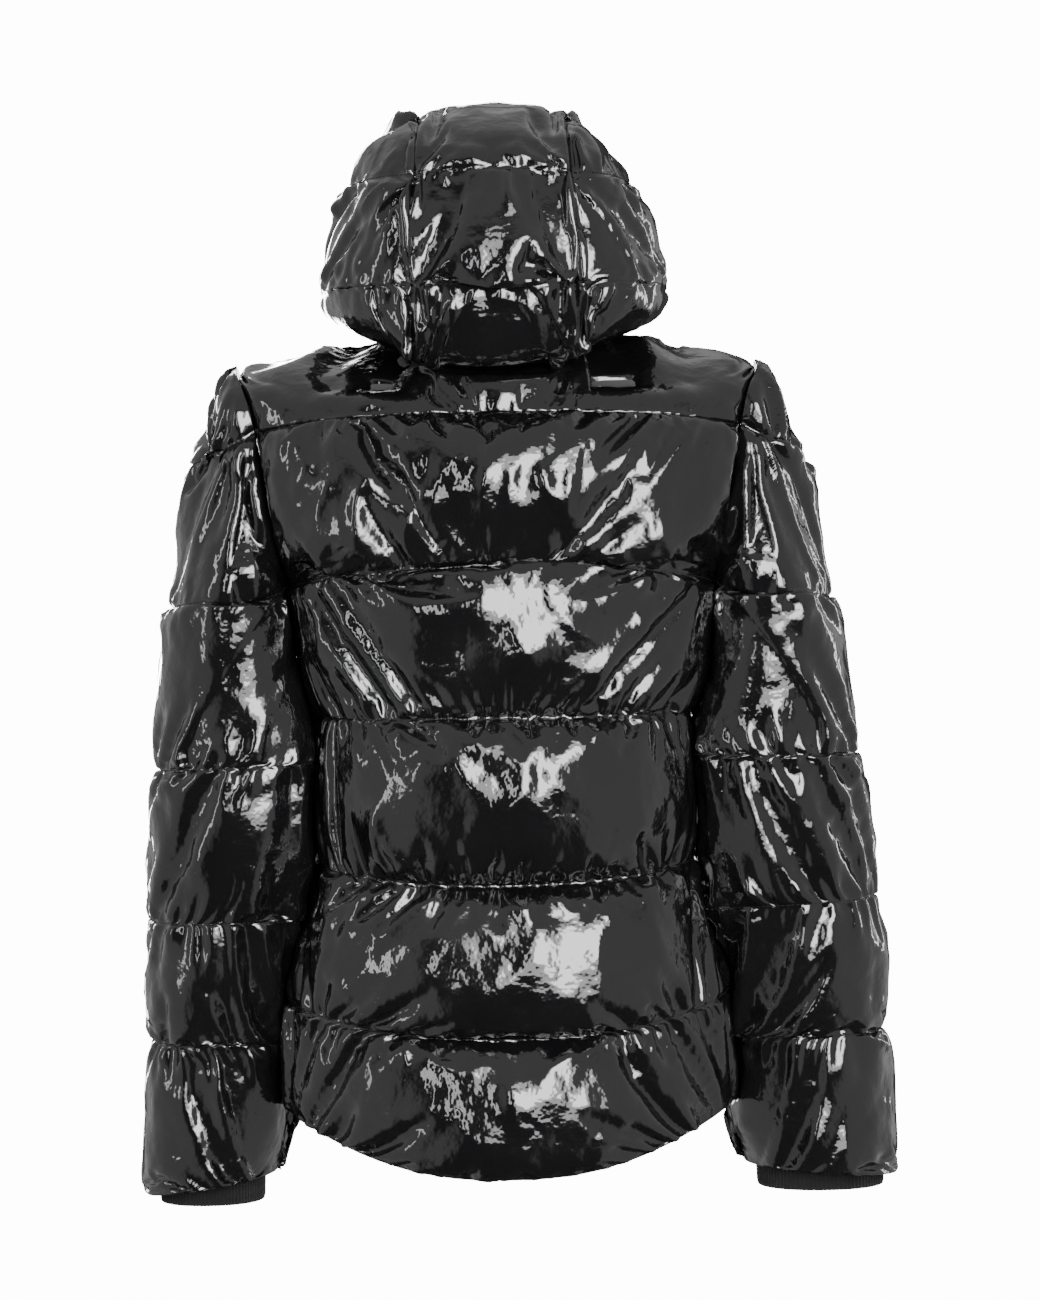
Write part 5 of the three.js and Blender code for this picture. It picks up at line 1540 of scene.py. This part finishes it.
# %% [markdown]
# ## Which piece stands for which solid
# The cloth pieces take the place of the plain solids, and ride with the jacket.

# %% Tie the pieces to the model
for name, wall in walls.items():
    side = name.rsplit("_", 1)[-1]
    nodes = [name]
    if family(name) == "sleeve":
        nodes = [f"sleeve_{part}_{side}" for part in ("cap", "upper", "lower")]
    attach(wall, "jacket")
    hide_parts(*nodes)
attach(thread, "jacket")
for side, (piece, flat) in cuffs.items():
    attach(piece, "jacket")
    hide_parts("cuff_band_" + side)
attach(zip_piece, "jacket")
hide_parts("zip")

# %% [markdown]
# ## Studio
# The jacket mirrors its surroundings, so the studio is half of its look. White walls at the sides make the grey
# zones, the dark room behind the camera makes the black ones, and large soft boxes make the bright patches.

# %% Surroundings
DARK_ROOM, WHITE_WALL = 0.08, 0.95
BACKDROP = 14.0  # seen by the camera alone; it lights nothing
WALL_FROM, CEILING_FROM = (0.42, 0.6), (0.4, 0.6)  # how far to the side, and up, the white begins
world = bpy.data.worlds.new("studio")
bpy.context.scene.world = world
world.use_nodes = True
tree = world.node_tree
tree.nodes.clear()
place = tree.nodes.new("ShaderNodeTexCoord")
split = tree.nodes.new("ShaderNodeSeparateXYZ")
tree.links.new(place.outputs["Generated"], split.inputs["Vector"])
rays = tree.nodes.new("ShaderNodeLightPath")


def math_node(operation, first, second=None):
    """One step of arithmetic; what comes in is another node's output or a number."""
    node = tree.nodes.new("ShaderNodeMath")
    node.operation = operation
    for socket, value in zip(node.inputs, (first, second)):
        if isinstance(value, float):
            socket.default_value = value
        elif value is not None:
            tree.links.new(value, socket)
    return node.outputs[0]


sideways = math_node("ABSOLUTE", split.outputs["X"])
walls_seen = spread(tree, sideways, DARK_ROOM, WHITE_WALL, *WALL_FROM)
ceiling_seen = spread(tree, split.outputs["Z"], DARK_ROOM, WHITE_WALL, *CEILING_FROM)
room = math_node("MAXIMUM", walls_seen, ceiling_seen)
backdrop = math_node("MULTIPLY", rays.outputs["Is Camera Ray"], BACKDROP)
background = tree.nodes.new("ShaderNodeBackground")
background.inputs["Color"].default_value = (1, 1, 1, 1)
tree.links.new(math_node("MAXIMUM", room, backdrop), background.inputs["Strength"])
output = tree.nodes.new("ShaderNodeOutputWorld")
tree.links.new(background.outputs[0], output.inputs["Surface"])
print("world:", len(tree.nodes), "nodes")

# %% [markdown]
# The bright patches on the back come from one large soft box between the camera and the jacket, which the camera
# doesn't see. A smaller one just in front of it makes its middle brighter, as the bulb does behind the cloth of a
# real one. A narrow box and a strip draw thin lights down the sleeves. The same lights stand on the other side, so
# that the front looks like the back.

# %% Soft boxes
AIM_HEIGHT = -0.3  # the middle of the jacket
SOFT_BOXES = {  # place, width, height, power
    "key": ((-0.5, 1.9, 0.02), 1.2, 1.75, 64),
    "key_core": ((-0.5, 1.8, 0.02), 0.7, 1.1, 58),
    "side_key": ((0.6, 1.9, 0.0), 0.2, 1.0, 7),
    "strip": ((2.5, 1.5, 0.1), 0.3, 1.6, 16),
    "front_key": ((0.5, -1.9, 0.02), 1.2, 1.75, 64),
    "front_key_core": ((0.5, -1.8, 0.02), 0.7, 1.1, 58),
    "front_strip": ((-2.5, -1.5, 0.1), 0.3, 1.6, 16),
}


def soft_box(name, place, width, height, power):
    """An area light, aimed at the jacket and hidden from the camera."""
    light = bpy.data.lights.new(name, "AREA")
    light.shape = "RECTANGLE"
    light.size, light.size_y, light.energy = width, height, power
    box = bpy.data.objects.new(name, light)
    box.visible_camera = False
    box.location = place
    box.rotation_euler = (Vector((0, 0, AIM_HEIGHT)) - box.location).to_track_quat("-Z", "Y").to_euler()
    bpy.context.scene.collection.objects.link(box)


for name, values in SOFT_BOXES.items():
    soft_box(name, *values)
print("lights:", list(SOFT_BOXES))

# %% [markdown]
# The floor is a plain pale sheet where a wearer would stand. It is far below the picture, as in the photograph, and
# shows only from higher up. Shiny cloth would mirror it as a white band, so rays that were mirrored don't see it.

# %% Floor
SHOULDER_HEIGHT = 1.38  # of a standing person
FLOOR_HALF = 2.4
corners = [(x * FLOOR_HALF, y * FLOOR_HALF, 0) for x, y in ((-1, -1), (1, -1), (1, 1), (-1, 1))]
floor_mesh = bpy.data.meshes.new("floor")
floor_mesh.from_pydata(corners, [], [(0, 1, 2, 3)])
floor = bpy.data.objects.new("floor", floor_mesh)
floor.location.z = -SHOULDER_HEIGHT
floor.visible_glossy = False
bpy.context.scene.collection.objects.link(floor)
paper, tree, shader = new_material("pale_floor", (0.86, 0.86, 0.86), 0.9)
shades = blend_colours(tree, add_noise(tree, 2, 2.0), (0.84, 0.84, 0.84), (0.88, 0.88, 0.88))
tree.links.new(shades, shader.inputs["Base Color"])
dress(floor, paper)
floor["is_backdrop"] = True
print("floor at", -SHOULDER_HEIGHT, "m")

# %% Sizes, and done
low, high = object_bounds()
